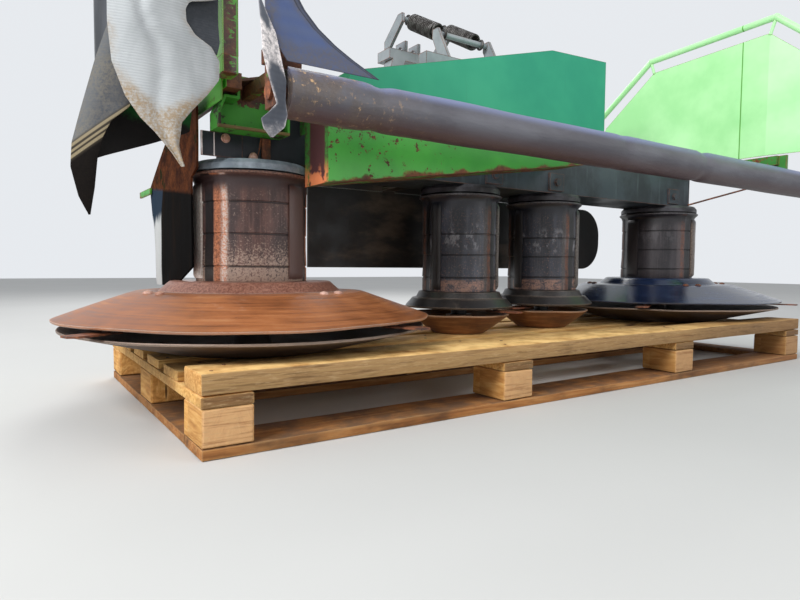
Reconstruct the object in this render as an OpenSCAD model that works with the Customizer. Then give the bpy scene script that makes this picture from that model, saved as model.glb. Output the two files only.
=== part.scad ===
// Front-mounted drum mower with four hanging drums, parked on a wooden pallet.
// Drawn in millimetres. Inside the modules x = 0 is the middle of the machine,
// y = 0 the line of the drum axes with the front towards -y, and z = 0 the
// plane of the disc rims. placed() then moves the end of the drive shaft to
// the origin.

/* [Cutting line] */
// Distance of each outer drum axis from the middle
outer_x = 890; // [870:1:910]
// Distance of each inner drum axis from the middle
inner_x = 193; // [188:1:200]
// Radius of the outer discs
outer_disc_r = 459; // [440:1:465]
// Radius of the inner discs
inner_disc_r = 174; // [168:1:180]
// Height of the flat top of the discs over their rim
disc_crown = 58; // [50:1:62]
// Height of the shoulder of the inner discs over their rim
inner_crown = 24; // [20:1:28]
// Sheet thickness of the discs
disc_wall = 5; // [4:0.5:6]
// Reach of a knife past the rim of its disc
knife_reach = 52; // [45:1:56]
// Width of a knife
knife_w = 42; // [36:1:48]
// Thickness of a knife
knife_t = 4; // [3:0.5:5]
// Depth of the knife plane below the rim of the disc
knife_drop = 12; // [10:1:14]
// Number of knives on an outer disc
outer_knives = 4; // [2:2:4]
// Number of knives on an inner disc
inner_knives = 2; // [2:2:2]

/* [Drums] */
// Radius of the outer drums
outer_drum_r = 139; // [134:1:142]
// Radius of the inner drums
inner_drum_r = 119; // [114:1:122]
// Height of the top flange of the drums over the rim plane
drum_top = 346; // [342:1:350]
// How far the top flange stands out of the drum
drum_lip = 13; // [10:1:15]
// Sheet thickness of the drums
drum_wall = 6; // [5:0.5:8]
// Height over the rim plane where the outer drums end in their flare
outer_drum_foot = 84; // [80:1:88]
// Height over the rim plane where the inner drums end in their flare
inner_drum_foot = 46; // [42:1:50]
// Number of conveyor ribs round a drum
drum_ribs = 3; // [2:1:4]
// How far a conveyor rib stands out of the drum
rib_h = 8; // [6:1:9]
// Width of a conveyor rib on an inner drum
rib_w = 26; // [20:1:30]
// Width of a conveyor rib on an outer drum
outer_rib_w = 56; // [48:1:60]
// Radius of the drum shafts
drum_shaft_r = 25; // [22:1:28]
// Running gap round a shaft in its bearing
shaft_gap = 0.06; // [0.04:0.01:0.1]

/* [Saucers] */
// Depth of the underside of the saucers below the rim plane
saucer_depth = 88; // [84:1:92]
// Depth of the saucer rims below the rim plane
saucer_rim = 24; // [22:1:26]
// Sheet thickness of the saucers
saucer_wall = 5; // [4:0.5:6]
// Radius of the flat sole of an outer saucer
outer_sole_r = 215; // [200:1:230]
// Radius of the flat sole of an inner saucer
inner_sole_r = 90; // [80:1:95]
// Gap that is left where one piece rests on another
seat_gap = 0.3; // [0.2:0.1:0.5]

/* [Gear beam] */
// Half length of the gear beam
beam_half = 950; // [940:1:960]
// Half depth of the gear beam, front to back
beam_half_y = 100; // [95:1:105]
// Height of the underside of the gear beam over the rim plane
beam_bottom = 375; // [372:1:378]
// Height of the gear beam
beam_h = 137; // [130:1:142]
// Radius of the bearing ring over an outer drum
outer_ring_r = 147; // [144:1:152]
// Radius of the bearing ring over an inner drum
inner_ring_r = 127; // [124:1:131]

/* [Drive] */
// Height of the drive shaft over the rim plane
shaft_z = 640; // [632:1:650]
// Distance of the middle of the drive shaft's free end behind the drum line
shaft_y = 420; // [400:1:440]
// Radius of the drive shaft
shaft_r = 17.45; // [17.4:0.05:17.5]
// Length of the free end of the drive shaft
shaft_free = 90; // [80:1:100]
// Width of the bevel gearbox
gearbox_w = 190; // [180:2:200]
// Width of the gearbox foot on the beam
foot_w = 140; // [130:2:150]

/* [Hood] */
// Where the hood starts on the left of the middle
hood_left = 603; // [590:1:615]
// Where the hood's top bends, right of the middle
hood_bend = 223; // [215:1:230]
// Where the hood ends on the right of the middle
hood_right = 521; // [510:1:530]
// Height of the hood's lower edge over the rim plane
hood_bottom = 545; // [540:1:555]
// Height of the hood's left end over the rim plane
hood_low = 674; // [664:1:684]
// Height of the hood's bend over the rim plane
hood_high = 896; // [886:1:906]
// Depth of the hood, front to back
hood_d = 150; // [140:1:160]
// Sheet thickness of the hood, guards and covers
sheet = 4; // [3:0.5:5]

/* [Front apron] */
// Distance from the gear beam's left end to the apron
apron_in = 150; // [140:1:160]
// Where the apron ends on the right of the middle
apron_right = 100; // [90:1:110]
// Distance of the apron's front face ahead of the drum line
apron_front = 250; // [244:1:256]
// Depth of the apron, front to back
apron_d = 120; // [110:1:130]
// Height of the apron's lower edge at its left end over the rim plane
apron_low = 318; // [312:1:324]
// Height of the apron's lower edge at its right end over the rim plane
apron_rise = 446; // [440:1:452]
// Height of the apron's top over the rim plane
apron_top = 540; // [530:1:550]

/* [Curtain] */
// Distance of the rolled-up curtain ahead of the drum line
roll_y = 420; // [410:1:430]
// Height of the middle of the roll over the rim plane
roll_z = 452; // [446:1:458]
// Radius of the roll
roll_r = 52; // [48:1:54]
// Where the roll ends on the right of the middle
roll_right = 1290; // [1270:1:1310]
// Radius of the curtain rail inside the roll
rail_r = 17; // [15:1:20]

/* [Side covers] */
// Distance of the cover hinges outside the gear beam's ends
cover_out = 90; // [84:1:100]
// Height of the cover hinges over the rim plane
cover_z = 540; // [534:1:546]
// Height of a folded-up cover over its hinge
cover_reach = 485; // [460:1:500]
// Distance of the right cover's front edge ahead of the drum line
cover_front = 560; // [550:1:580]
// Distance of the left cover's front edge ahead of the drum line
cover_front_left = 250; // [245:1:260]
// Distance of the covers' rear edge behind the drum line
cover_back = 430; // [420:1:440]
// Distance of the crease in the right cover ahead of the drum line
cover_crease = 350; // [340:1:360]
// How far the right cover's front edge is bent inwards
cover_bend = 40; // [30:1:45]
// Width of the lip along a cover's front edge
cover_lip = 28; // [24:1:32]
// Radius of the rail round a cover
cover_rail_r = 12; // [10:1:14]
// Distance of the rail from the cover's edge
cover_rail_gap = 55; // [50:1:60]
// Radius of a cover's hinge pins
hinge_pin_r = 8; // [7:0.5:9]
// Length of a hinge knuckle
knuckle = 40; // [36:1:44]

/* [Headstock] */
// Radius of the lower link pins
lower_pin_r = 14; // [14:0.1:14.5]
// Free length of a lower link pin
lower_pin_len = 90; // [85:1:95]
// Distance of the lower link pins' shoulders from the middle
lower_pin_x = 412.5; // [411:0.5:414]
// Radius of the holes for the top link pin
top_hole_r = 12.9; // [12.8:0.1:13]
// Distance between the two ears of the top link
ear_gap = 52; // [52:1:56]
// Distance of the headstock's legs behind the drum line
stock_y = 560; // [550:1:570]
// Height of the lower link pins over the rim plane
stock_low = 400; // [395:1:405]
// Height of the top link's holes over the rim plane
stock_top = 1010; // [1000:1:1020]
// Side of the square tube of the headstock's legs
stock_tube = 60; // [56:1:64]
// Distance of the lower arms from the middle
arm_x = 200; // [195:1:210]
// Height of the lower arms over the rim plane
arm_low = 590; // [585:1:600]
// Height of the spring hangers' lower pins over the rim plane
spring_low = 955; // [945:1:965]
// Height of the spring hangers' upper pins over the rim plane
spring_high = 1080; // [1070:1:1090]
// Distance of the springs' lower ends behind the drum line
spring_front = 235; // [230:1:240]
// Distance of the springs' upper ends behind the drum line
spring_back = 460; // [455:1:465]
// Distance of the relief springs from the middle
spring_x = 88; // [84:1:92]
// Outer radius of the relief springs
spring_r = 32; // [30:1:34]
// Radius of the relief springs' wire
spring_wire = 5; // [4:0.5:6]
// Turns of a relief spring
spring_turns = 14; // [10:1:16]

/* [Crop boards] */
// Distance of the middle crop board behind the drum line
board_y = 215; // [210:1:225]
// Where the crop board ends on the right of the middle
board_half = 780; // [760:1:790]
// Where the crop board starts on the left of the middle
board_left = 630; // [620:1:650]
// Radius of the corners at the crop board's right end
board_round = 110; // [100:1:120]
// Height of the boards' lower edge over the rim plane
board_low = 118; // [114:1:124]
// Distance of the end board outside the gear beam's left end
end_board_out = 100; // [96:1:106]
// Least gap between the end board and the bearing ring over an outer drum
ring_gap = 13; // [12:1:16]
// Distance of the end board's rear edge behind the drum line
end_board_back = 430; // [420:1:440]

/* [Pallet] */
// Length of the pallet
pallet_len = 2300; // [2260:5:2340]
// Width of the pallet
pallet_w = 960; // [950:5:980]
// Where the pallet's front edge lies ahead of the drum line
pallet_front = 450; // [440:1:460]
// Thickness of the deck boards
deck_t = 22; // [20:1:24]
// Height of the pallet's blocks
block_h = 72; // [68:1:76]
// Length of a block along the pallet
block_len = 100; // [90:1:110]
// Width of a board
board_w = 120; // [110:1:130]
// Number of lengthwise deck boards
deck_boards = 6; // [5:1:6]
// Number of blocks in a row
block_count = 4; // [4:1:5]

/* [Hidden] */
$fn = 48;

outer_hub_r = 200;
outer_flare_r = 228;
outer_crown_r = 289;
inner_hub_r = 128;
inner_flare_r = 140;
inner_crown_r = 152;
lip_h = 5;
deck_top = -saucer_depth - seat_gap;
beam_top = beam_bottom + beam_h;
frame_low = beam_top + seat_gap;
tube_front = 92;
tube_d = 80;
tube_h = 60;
end_x = max(beam_half, outer_x + outer_ring_r + ring_gap - end_board_out);
cover_x = end_x + cover_out;
side_x = cover_x - 40;
end_board_x = end_x + end_board_out;
apron_left = beam_half - apron_in;
roll_left = side_x - 15;
side_w = 36;
side_h = 34;
drop_w = 2 * rail_r + 20;
drop_t = 12;
side_front = 195;
hold_y = roll_y - drop_w / 2 + 2;
hold_w = 20;
hold_h = 28;
bracket_t = 6;
bracket_front = 165;
drop_low = roll_z - 30;
shaft_top = beam_bottom + 60;
shaft_front = 218;
lug_rows = [-142, 142, 832];
shaft_step = 5;
ring_low = drum_top + 5;
hood_end_z = hood_high + 15;
hinge_rows = [-150, 330];
knuckle_r = 16;
cover_foot = 22;
back_bend_y = 137;
back_slope_y = 385;
back_slope_z = 260;
back_top_z = 180;
rail_foot = 30;
left_rail_foot = 140;
ear_t = 12;
head_top = stock_top - 20;
hanger_x = 120;
hanger_pin_r = 10;
prop_x = 350;
prop_w = 60;
prop_h = 90;
prop_d = 70;
prop_t = 8;
stub_low = 12 - saucer_depth;
hub_top = 58 - saucer_depth;
leg_foot_x = 270;
leg_head_x = 70;

// Columns: x, drum radius, disc radius, foot height, hub radius, flare radius,
// crown radius, crown height, sole radius, ring radius, number of knives,
// angle of the first knife, angle of the first rib
DRUMS = [
    [-outer_x, outer_drum_r, outer_disc_r, outer_drum_foot, outer_hub_r, outer_flare_r,
        outer_crown_r, disc_crown, outer_sole_r, outer_ring_r, outer_knives, -152, -179],
    [-inner_x, inner_drum_r, inner_disc_r, inner_drum_foot, inner_hub_r, inner_flare_r,
        inner_crown_r, inner_crown, inner_sole_r, inner_ring_r, inner_knives, -73, -46],
    [inner_x, inner_drum_r, inner_disc_r, inner_drum_foot, inner_hub_r, inner_flare_r,
        inner_crown_r, inner_crown, inner_sole_r, inner_ring_r, inner_knives, 17, -60],
    [outer_x, outer_drum_r, outer_disc_r, outer_drum_foot, outer_hub_r, outer_flare_r,
        outer_crown_r, disc_crown, outer_sole_r, outer_ring_r, outer_knives, -152, -70]
];
function d_x(d) = d[0];
function d_drum_r(d) = d[1];
function d_disc_r(d) = d[2];
function d_foot(d) = d[3];
function d_hub_r(d) = d[4];
function d_flare_r(d) = d[5];
function d_crown_r(d) = d[6];
function d_crown(d) = d[7];
function d_sole_r(d) = d[8];
function d_ring_r(d) = d[9];
function d_knives(d) = d[10];
function d_knife_turn(d) = d[11];
function d_rib_turn(d) = d[12];

module placed() translate([0, -shaft_y, -shaft_z]) children();

// A round bar from p to q
module rod(p, q, r) {
    d = q - p;
    len = norm(d);
    translate(p)
        rotate([0, acos(d[2] / len), atan2(d[1], d[0])])
            cylinder(h = len, r = r, $fn = 24);
}

// A square bar from p to q, w wide along x and t thick
module bar(p, q, w, t) {
    d = q - p;
    len = norm(d);
    translate(p)
        rotate([-atan2(d[1], d[2]), 0, 0])
            translate([-w / 2, -t / 2, 0]) cube([w, t, len]);
}

// A plate drawn as an outline in x and z, from y = y0 to y = y1
module plate_xz(y0, y1, points)
    translate([0, y1, 0]) rotate([90, 0, 0])
        linear_extrude(height = y1 - y0) polygon(points);

// A plate drawn as an outline in y and z, from x = x0 to x = x1
module plate_yz(x0, x1, points)
    translate([x0, 0, 0]) rotate([90, 0, 90])
        linear_extrude(height = x1 - x0) polygon(points);

module drum(d) {
    r = d_drum_r(d);
    low = d_foot(d) + seat_gap;
    rib_low = low + 6;
    rib_high = drum_top - 24;
    w = r > inner_drum_r ? outer_rib_w : rib_w;
    color("saddlebrown") translate([d_x(d), 0, 0]) {
        difference() {
            rotate_extrude($fn = 72) polygon([
                [0, shaft_top], [drum_shaft_r, shaft_top], [drum_shaft_r, drum_top],
                [r + drum_lip, drum_top], [r + drum_lip, drum_top - lip_h],
                [r, drum_top - 18], [r, low], [r - drum_wall, low],
                [r - drum_wall, drum_top - 10], [0, drum_top - 10]
            ]);
            for (i = [1:3])
                translate([0, 0, low + i * (drum_top - low) * 0.26 - 20])
                    difference() {
                        cylinder(h = 3, r = r + 3, $fn = 72);
                        cylinder(h = 3, r = r - 1.5, $fn = 72);
                    }
        }
        for (i = [0:drum_ribs - 1])
            rotate([0, 0, d_rib_turn(d) + i * 360 / drum_ribs])
                intersection() {
                    translate([0, -w / 2, rib_low])
                        cube([r + 2 * rib_h, w, rib_high - rib_low]);
                    translate([0, 0, rib_low]) difference() {
                        cylinder(h = rib_high - rib_low, r = r + rib_h - 0.4, $fn = 72);
                        cylinder(h = rib_high - rib_low, r = r - 3, $fn = 72);
                    }
                }
    }
}

module disc(d) {
    r = d_disc_r(d);
    foot = d_foot(d);
    crown = d_crown(d);
    color("sienna") translate([d_x(d), 0, 0])
        rotate_extrude($fn = 96) polygon([
            [0, foot], [d_hub_r(d), foot], [d_flare_r(d), crown + 3],
            [d_crown_r(d), crown], [r, 0], [r - 2, -disc_wall],
            [d_crown_r(d) - 1, crown - disc_wall],
            [d_flare_r(d) - 4, crown - disc_wall],
            [d_hub_r(d) - 4, foot - disc_wall], [drum_shaft_r, foot - disc_wall],
            [drum_shaft_r, stub_low], [0, stub_low]
        ]);
}

// Height of the underside of a disc at radius q
function disc_under(d, q) =
    q <= d_crown_r(d) ? d_crown(d) - disc_wall
    : d_crown(d) * (d_disc_r(d) - q) / (d_disc_r(d) - d_crown_r(d)) - disc_wall;

module knives(d) {
    r = d_disc_r(d);
    pin = 9;
    pin_at = r - 38;
    pin_top = disc_under(d, pin_at + pin) - seat_gap;
    low = -knife_drop - knife_t;
    color("dimgray") translate([d_x(d), 0, 0])
        for (i = [0:d_knives(d) - 1])
            rotate([0, 0, d_knife_turn(d) + i * 360 / d_knives(d)]) {
                translate([pin_at, 0, low]) cylinder(h = pin_top - low, r = pin);
                translate([0, 0, low]) linear_extrude(height = knife_t)
                    polygon([
                        [pin_at - 20, -knife_w / 2], [r + knife_reach - 6, -knife_w / 2],
                        [r + knife_reach, knife_w / 2 - 14],
                        [r + knife_reach - 14, knife_w / 2], [pin_at - 20, knife_w / 2]
                    ]);
            }
}

module saucer(d) {
    rim = d_disc_r(d) - 12;
    sole = d_sole_r(d);
    bore = drum_shaft_r + shaft_gap;
    low = -saucer_depth;
    color("dimgray") translate([d_x(d), 0, 0])
        rotate_extrude($fn = 72) polygon([
            [0, low], [sole, low], [rim, -saucer_rim - saucer_wall],
            [rim, -saucer_rim], [sole - 4, low + saucer_wall],
            [bore + 24, low + saucer_wall], [bore + 16, hub_top], [bore, hub_top],
            [bore, low + saucer_wall], [0, low + saucer_wall]
        ]);
}

module gear_beam() {
    color("darkslategray") difference() {
        union() {
            translate([-beam_half, -beam_half_y, beam_bottom])
                cube([2 * beam_half, 2 * beam_half_y, beam_h]);
            for (x = lug_rows) {
                translate([x - 34, -beam_half_y - 7, beam_bottom + 8]) cube([68, 8, 58]);
                translate([x, -beam_half_y - 6, beam_bottom + 36])
                    rotate([90, 0, 0]) cylinder(h = 9, r = 13, $fn = 6);
            }
        }
        for (d = DRUMS)
            translate([d_x(d), 0, beam_bottom - 1])
                cylinder(h = shaft_top - beam_bottom + 7, r = drum_shaft_r + shaft_gap);
    }
}

module bearing_rings()
    color("gray") for (d = DRUMS)
        translate([d_x(d), 0, 0]) rotate_extrude($fn = 72) polygon([
            [60, ring_low], [d_ring_r(d), ring_low], [d_ring_r(d), ring_low + 14],
            [d_ring_r(d) - 8, beam_bottom - seat_gap], [60, beam_bottom - seat_gap]
        ]);

module gearbox() {
    back = shaft_y - shaft_free / 2;
    color("darkgreen") difference() {
        union() {
            translate([-foot_w / 2, 14, frame_low])
                cube([foot_w, beam_half_y - 18, 60]);
            translate([-gearbox_w / 2, 14, shaft_z - 85])
                cube([gearbox_w, 206, 170]);
            translate([0, back, shaft_z]) rotate([90, 0, 0])
                cylinder(h = back - 200, r = 55);
        }
        translate([0, back + 1, shaft_z]) rotate([90, 0, 0])
            cylinder(h = back - shaft_front + 9, r = shaft_r + shaft_step + shaft_gap);
    }
}

module drive_shaft()
    color("silver") translate([0, shaft_y, shaft_z]) rotate([90, 0, 0]) {
        difference() {
            translate([0, 0, -shaft_free / 2]) cylinder(h = shaft_free, r = shaft_r);
            translate([0, 0, 28 - shaft_free / 2]) difference() {
                cylinder(h = 8, r = shaft_r + 2);
                cylinder(h = 8, r = shaft_r - 3);
            }
        }
        translate([0, 0, shaft_free / 2])
            cylinder(h = shaft_y - shaft_free / 2 - shaft_front, r = shaft_r + shaft_step);
    }

module main_tube() {
    end = side_x - side_w / 2 - seat_gap;
    color("limegreen") translate([-end, -tube_front, frame_low])
        cube([2 * end, tube_d, tube_h]);
}

// side is -1 on the left and 1 on the right
module side_frame(side) {
    front = side > 0 ? roll_y : side_front;
    top = frame_low + side_h;
    color("limegreen") {
        translate([side * side_x - side_w / 2, -front, frame_low])
            cube([side_w, front + cover_back, side_h]);
        difference() {
            translate([side * side_x - drop_t / 2, -roll_y - drop_w / 2, drop_low])
                cube([drop_t, drop_w, top - drop_low]);
            translate([side * side_x - drop_t, -roll_y, roll_z]) rotate([0, 90, 0])
                cylinder(h = 2 * drop_t, r = rail_r + shaft_gap);
        }
        if (side < 0) {
            translate([-beam_half, -hold_y, frame_low])
                cube([hold_w, hold_y - beam_half_y - 2 * seat_gap - bracket_t, hold_h]);
            translate([-side_x - drop_t / 2, -hold_y, frame_low])
                cube([side_x + drop_t / 2 - beam_half + hold_w, hold_w, hold_h]);
        }
        for (y = hinge_rows) {
            for (e = [-1, 1])
                translate([
                    side > 0 ? side_x + side_w / 2 - 1 : -cover_x - 10,
                    y + e * (knuckle / 2 + 5) - 4, cover_z - 11
                ]) cube([cover_x + 11 - side_x - side_w / 2, 8, 22]);
            translate([side * cover_x, y + knuckle / 2 + 14, cover_z])
                rotate([90, 0, 0]) cylinder(h = knuckle + 28, r = hinge_pin_r);
        }
    }
}

module end_bracket_left() {
    low = 432;
    high = 556;
    left = -beam_half - 75;
    right = -beam_half + 95;
    step = -side_x + side_w / 2 + seat_gap;
    shoulder = frame_low - 8;
    t = bracket_t;
    back = -beam_half_y - seat_gap;
    color("olivedrab") difference() {
        plate_xz(-bracket_front, back, [
            [left, low], [left, low + 38], [left + 14, shoulder], [step, shoulder],
            [step, high - 14], [step + 50, high], [right, high], [right, low]
        ]);
        plate_xz(-bracket_front - 1, back - t, [
            [left + t, low + t], [left + t, low + 36], [left + 18, shoulder - t],
            [step + t, shoulder - t], [step + t, high - 18], [step + 51, high - t],
            [right - t, high - t], [right - t, low + t]
        ]);
    }
}

module drive_hood() {
    s = sheet;
    rise = (hood_high - hood_low) / (hood_bend + hood_left);
    color("seagreen") difference() {
        plate_xz(0, hood_d, [
            [-hood_left, hood_bottom], [hood_right, hood_bottom],
            [hood_right, hood_end_z], [hood_bend, hood_high], [-hood_left, hood_low]
        ]);
        plate_xz(s, hood_d + 1, [
            [-hood_left + s, hood_bottom - 1], [hood_right - s, hood_bottom - 1],
            [hood_right - s, hood_end_z - s], [hood_bend, hood_high - s],
            [-hood_left + s, hood_low - s + rise * s]
        ]);
    }
}

module hood_brackets()
    color("darkgreen") for (x = [-prop_x, prop_x])
        translate([x - prop_w / 2, sheet + seat_gap, frame_low]) {
            cube([prop_w, prop_t, prop_h]);
            cube([prop_w, prop_d, prop_t]);
        }

module front_apron() {
    s = sheet;
    back = -apron_front + apron_d;
    tab_back = -beam_half_y - seat_gap;
    slope = (apron_rise - apron_low) / (apron_left + apron_right);
    color("limegreen") {
        difference() {
            plate_xz(-apron_front, back, [
                [-apron_left, apron_low], [apron_right, apron_rise],
                [apron_right, apron_top], [-apron_left, apron_top]
            ]);
            plate_xz(-apron_front + s, back + 1, [
                [-apron_left + s, apron_low + s + slope * s],
                [apron_right - s, apron_rise + s - slope * s],
                [apron_right - s, apron_top + 1], [-apron_left + s, apron_top + 1]
            ]);
        }
        for (x = [-apron_left, apron_right - s])
            translate([x, back - 1, apron_rise + 4])
                cube([s, tab_back - back + 1, 60]);
    }
}

module front_rail()
    color("gray") translate([-side_x - 12, -roll_y, roll_z]) rotate([0, 90, 0])
        cylinder(h = side_x + 12 + roll_right + 10, r = rail_r);

module curtain_roll()
    color("dimgray") difference() {
        translate([-roll_left, -roll_y, roll_z]) rotate([0, 90, 0])
            cylinder(h = roll_left + roll_right, r = roll_r);
        translate([-roll_left - 1, -roll_y, roll_z]) rotate([0, 90, 0])
            cylinder(h = roll_left + roll_right + 2, r = rail_r + seat_gap);
        translate([side_x - drop_t / 2 - 1, -roll_y - drop_w / 2 - 1, drop_low - 1])
            cube([drop_t + 2, drop_w + 2, roll_r + 40]);
    }

module curtain_drape() {
    ahead = drop_w / 2 + 2;
    low = roll_z + sqrt(roll_r * roll_r - ahead * ahead) + seat_gap;
    color("slategray") plate_xz(-roll_y - ahead - 8, -roll_y - ahead, [
        [30 - side_x, low], [220 - side_x, low], [155 - side_x, roll_z + 78],
        [80 - side_x, roll_z + 120], [25 - side_x, roll_z + 178], [-side_x, roll_z + 308],
        [-30 - side_x, roll_z + 308], [-28 - side_x, roll_z + 78]
    ]);
}

// Outlines of the covers as y and height over the hinge
cover_rear = [
    [back_bend_y, cover_reach - 25], [back_slope_y, back_slope_z],
    [cover_back, back_top_z], [cover_back, cover_foot]
];
right_outline = concat([
    [-cover_front, cover_foot], [-cover_front, 300], [-cover_crease, cover_reach]
], cover_rear);
left_outline = concat([
    [-cover_front_left, cover_foot], [-cover_front_left, cover_reach - 10]
], cover_rear);
// Routes of the cover rails as x away from the machine, y and height
rail_rear = [
    [0, back_bend_y + 18, cover_reach + cover_rail_gap - 27],
    [0, back_slope_y + 43, back_slope_z + 40],
    [0, cover_back + cover_rail_gap, back_top_z + 10],
    [0, cover_back + cover_rail_gap, rail_foot]
];
right_rail = concat([
    [cover_bend, -cover_front - cover_rail_gap, rail_foot],
    [cover_bend, -cover_front - cover_rail_gap, 325],
    [0, -cover_crease - 20, cover_reach + cover_rail_gap]
], rail_rear);
left_rail = concat([
    [0, -cover_front_left - cover_rail_gap, left_rail_foot],
    [0, -cover_front_left - cover_rail_gap, cover_reach + cover_rail_gap - 10]
], rail_rear);

function side_point(side, p) = [side * (cover_x + p[0]), p[1], cover_z + p[2]];

module cover_rail(side, route) {
    for (i = [0:len(route) - 2])
        rod(side_point(side, route[i]), side_point(side, route[i + 1]), cover_rail_r);
    for (i = [1:len(route) - 2])
        translate(side_point(side, route[i])) sphere(r = cover_rail_r + 1, $fn = 24);
}

module cover_knuckles(side)
    for (y = hinge_rows) difference() {
        union() {
            translate([side * cover_x, y + knuckle / 2, cover_z]) rotate([90, 0, 0])
                cylinder(h = knuckle, r = knuckle_r);
            translate([side * cover_x - sheet / 2, y - knuckle / 2, cover_z + 10])
                cube([sheet, knuckle, 20]);
        }
        translate([side * cover_x, y + knuckle / 2 + 1, cover_z]) rotate([90, 0, 0])
            cylinder(h = knuckle + 2, r = hinge_pin_r + shaft_gap);
    }

// A strap from a cover's edge to its rail
module strap(side, p, q) rod(side_point(side, p), side_point(side, q), 6);

module side_cover_right() {
    h = cover_reach + 10;
    color("lime") {
        intersection() {
            translate([cover_x - sheet / 2, 0, cover_z]) linear_extrude(height = h)
                polygon([
                    [0, cover_back], [0, -cover_crease], [cover_bend, -cover_front],
                    [cover_bend + sheet, -cover_front], [sheet, -cover_crease],
                    [sheet, cover_back]
                ]);
            translate([0, 0, cover_z])
                plate_yz(cover_x - 60, cover_x + 80, right_outline);
        }
        cover_rail(1, right_rail);
        cover_knuckles(1);
        strap(1, [cover_bend, -cover_front + 4, 150], right_rail[0] + [0, 0, 120]);
        strap(1, [0, -cover_crease, cover_reach - 6], right_rail[2]);
        strap(1, [0, 137, cover_reach - 30], right_rail[3]);
        strap(1, [0, cover_back - 4, 60], right_rail[6] + [0, 0, 30]);
    }
}

module side_cover_left() {
    color("limegreen") {
        translate([0, 0, cover_z])
            plate_yz(-cover_x - sheet / 2, -cover_x + sheet / 2, left_outline);
        translate([-cover_x - sheet / 2, -cover_front_left, cover_z + cover_foot])
            cube([34, 50, cover_reach - 12 - cover_foot]);
        cover_rail(-1, left_rail);
        cover_knuckles(-1);
        strap(-1, [0, -cover_front_left + 4, 155], left_rail[0] + [0, 0, 15]);
        strap(-1, [0, -cover_front_left + 10, cover_reach - 30],
            left_rail[1] + [0, 0, -60]);
        strap(-1, [0, 137, cover_reach - 30], left_rail[2]);
        strap(-1, [0, cover_back - 4, 60], left_rail[5] + [0, 0, 30]);
    }
}

module corner_flap() {
    edge = -cover_x - cover_rail_r - seat_gap;
    y = -cover_front_left - cover_rail_gap;
    color("silver") plate_xz(y - 4, y + 4, [
        [edge, 1030], [edge, 720], [-cover_x - 22, 660], [-cover_x - 22, 600],
        [-cover_x - 24, 525], [-cover_x - 30, 489], [-cover_x - 80, 423],
        [-cover_x - 104, 365], [-cover_x - 104, 312], [-cover_x - 148, 366],
        [-cover_x - 198, 425], [-cover_x - 221, 488], [-cover_x - 228, 560],
        [-cover_x - 226, 700], [-cover_x - 210, 1030]
    ]);
}

module side_curtain() {
    edge = -cover_x - cover_rail_r - seat_gap;
    top = cover_z + cover_reach + cover_rail_gap - 20;
    near = -cover_front_left - cover_rail_gap + 9;
    color("lightgray") {
        plate_xz(near, 140, [
            [edge, top + 4], [edge, top - 4], [-cover_x - 182, top - 60],
            [-cover_x - 187, cover_z + 32], [-cover_x - 195, cover_z + 32],
            [-cover_x - 190, top - 52]
        ]);
        plate_xz(near, near + 8, [
            [-cover_x - 196, 640], [-cover_x - 236, 527], [-cover_x - 266, 407],
            [-cover_x - 285, 330], [-cover_x - 286, 290], [-cover_x - 277, 245],
            [-cover_x - 260, 212], [-cover_x - 253, 262], [-cover_x - 246, 320],
            [-cover_x - 236, 360], [-cover_x - 189, 417], [-cover_x - 184, 500],
            [-cover_x - 184, 700]
        ]);
    }
}

module crop_board() {
    high = beam_bottom - 2;
    r = board_round;
    color("black") {
        translate([0, board_y + sheet + 2, 0]) rotate([90, 0, 0])
            linear_extrude(height = sheet + 2) {
                translate([-board_left, board_low])
                    square([board_left + board_half - r, high - board_low]);
                translate([board_half - r, board_low + r]) circle(r = r, $fn = 64);
                translate([board_half - r, high - r]) circle(r = r, $fn = 64);
                translate([board_half - r - 1, board_low + r])
                    square([r + 1, high - board_low - 2 * r]);
            }
        for (x = [-330, 330])
            translate([x - 25, beam_half_y + seat_gap, beam_bottom + 4])
                cube([50, board_y + 6 - beam_half_y - seat_gap, 8]);
        for (x = [-330, 330])
            translate([x - 25, board_y, high - 30]) cube([50, 6, 42]);
    }
}

module end_board_left() {
    x = -end_board_x - sheet - 2;
    flange = side_x - side_w / 2;
    top = frame_low - seat_gap;
    color("saddlebrown") {
        plate_yz(x, x + sheet + 2, [
            [-100, board_low], [end_board_back, board_low - 52],
            [end_board_back, top], [-100, top]
        ]);
        translate([x, -100, top - 6])
            cube([end_board_x + sheet + 2 - flange, end_board_back + 100, 6]);
    }
}

module headstock() {
    w = stock_tube;
    shoulder = leg_foot_x - 20;
    color("gray") {
        for (e = [-1, 1]) {
            bar_x(e * leg_foot_x, stock_low - 40, e * leg_head_x, head_top - 10);
            translate([e > 0 ? shoulder : -lower_pin_x, stock_y - 40, stock_low - 40])
                cube([lower_pin_x - shoulder, 80, 110]);
            translate([e > 0 ? lower_pin_x - 1 : -lower_pin_x - lower_pin_len,
                stock_y, stock_low]) rotate([0, 90, 0])
                cylinder(h = lower_pin_len + 1, r = lower_pin_r);
        }
        translate([-hanger_x - 6, stock_y - w / 2, head_top - 40])
            cube([2 * hanger_x + 12, w + 30, 40]);
        translate([-leg_foot_x, stock_y - w / 2, stock_low - w / 2])
            cube([2 * leg_foot_x, w, w]);
    }
}

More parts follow.
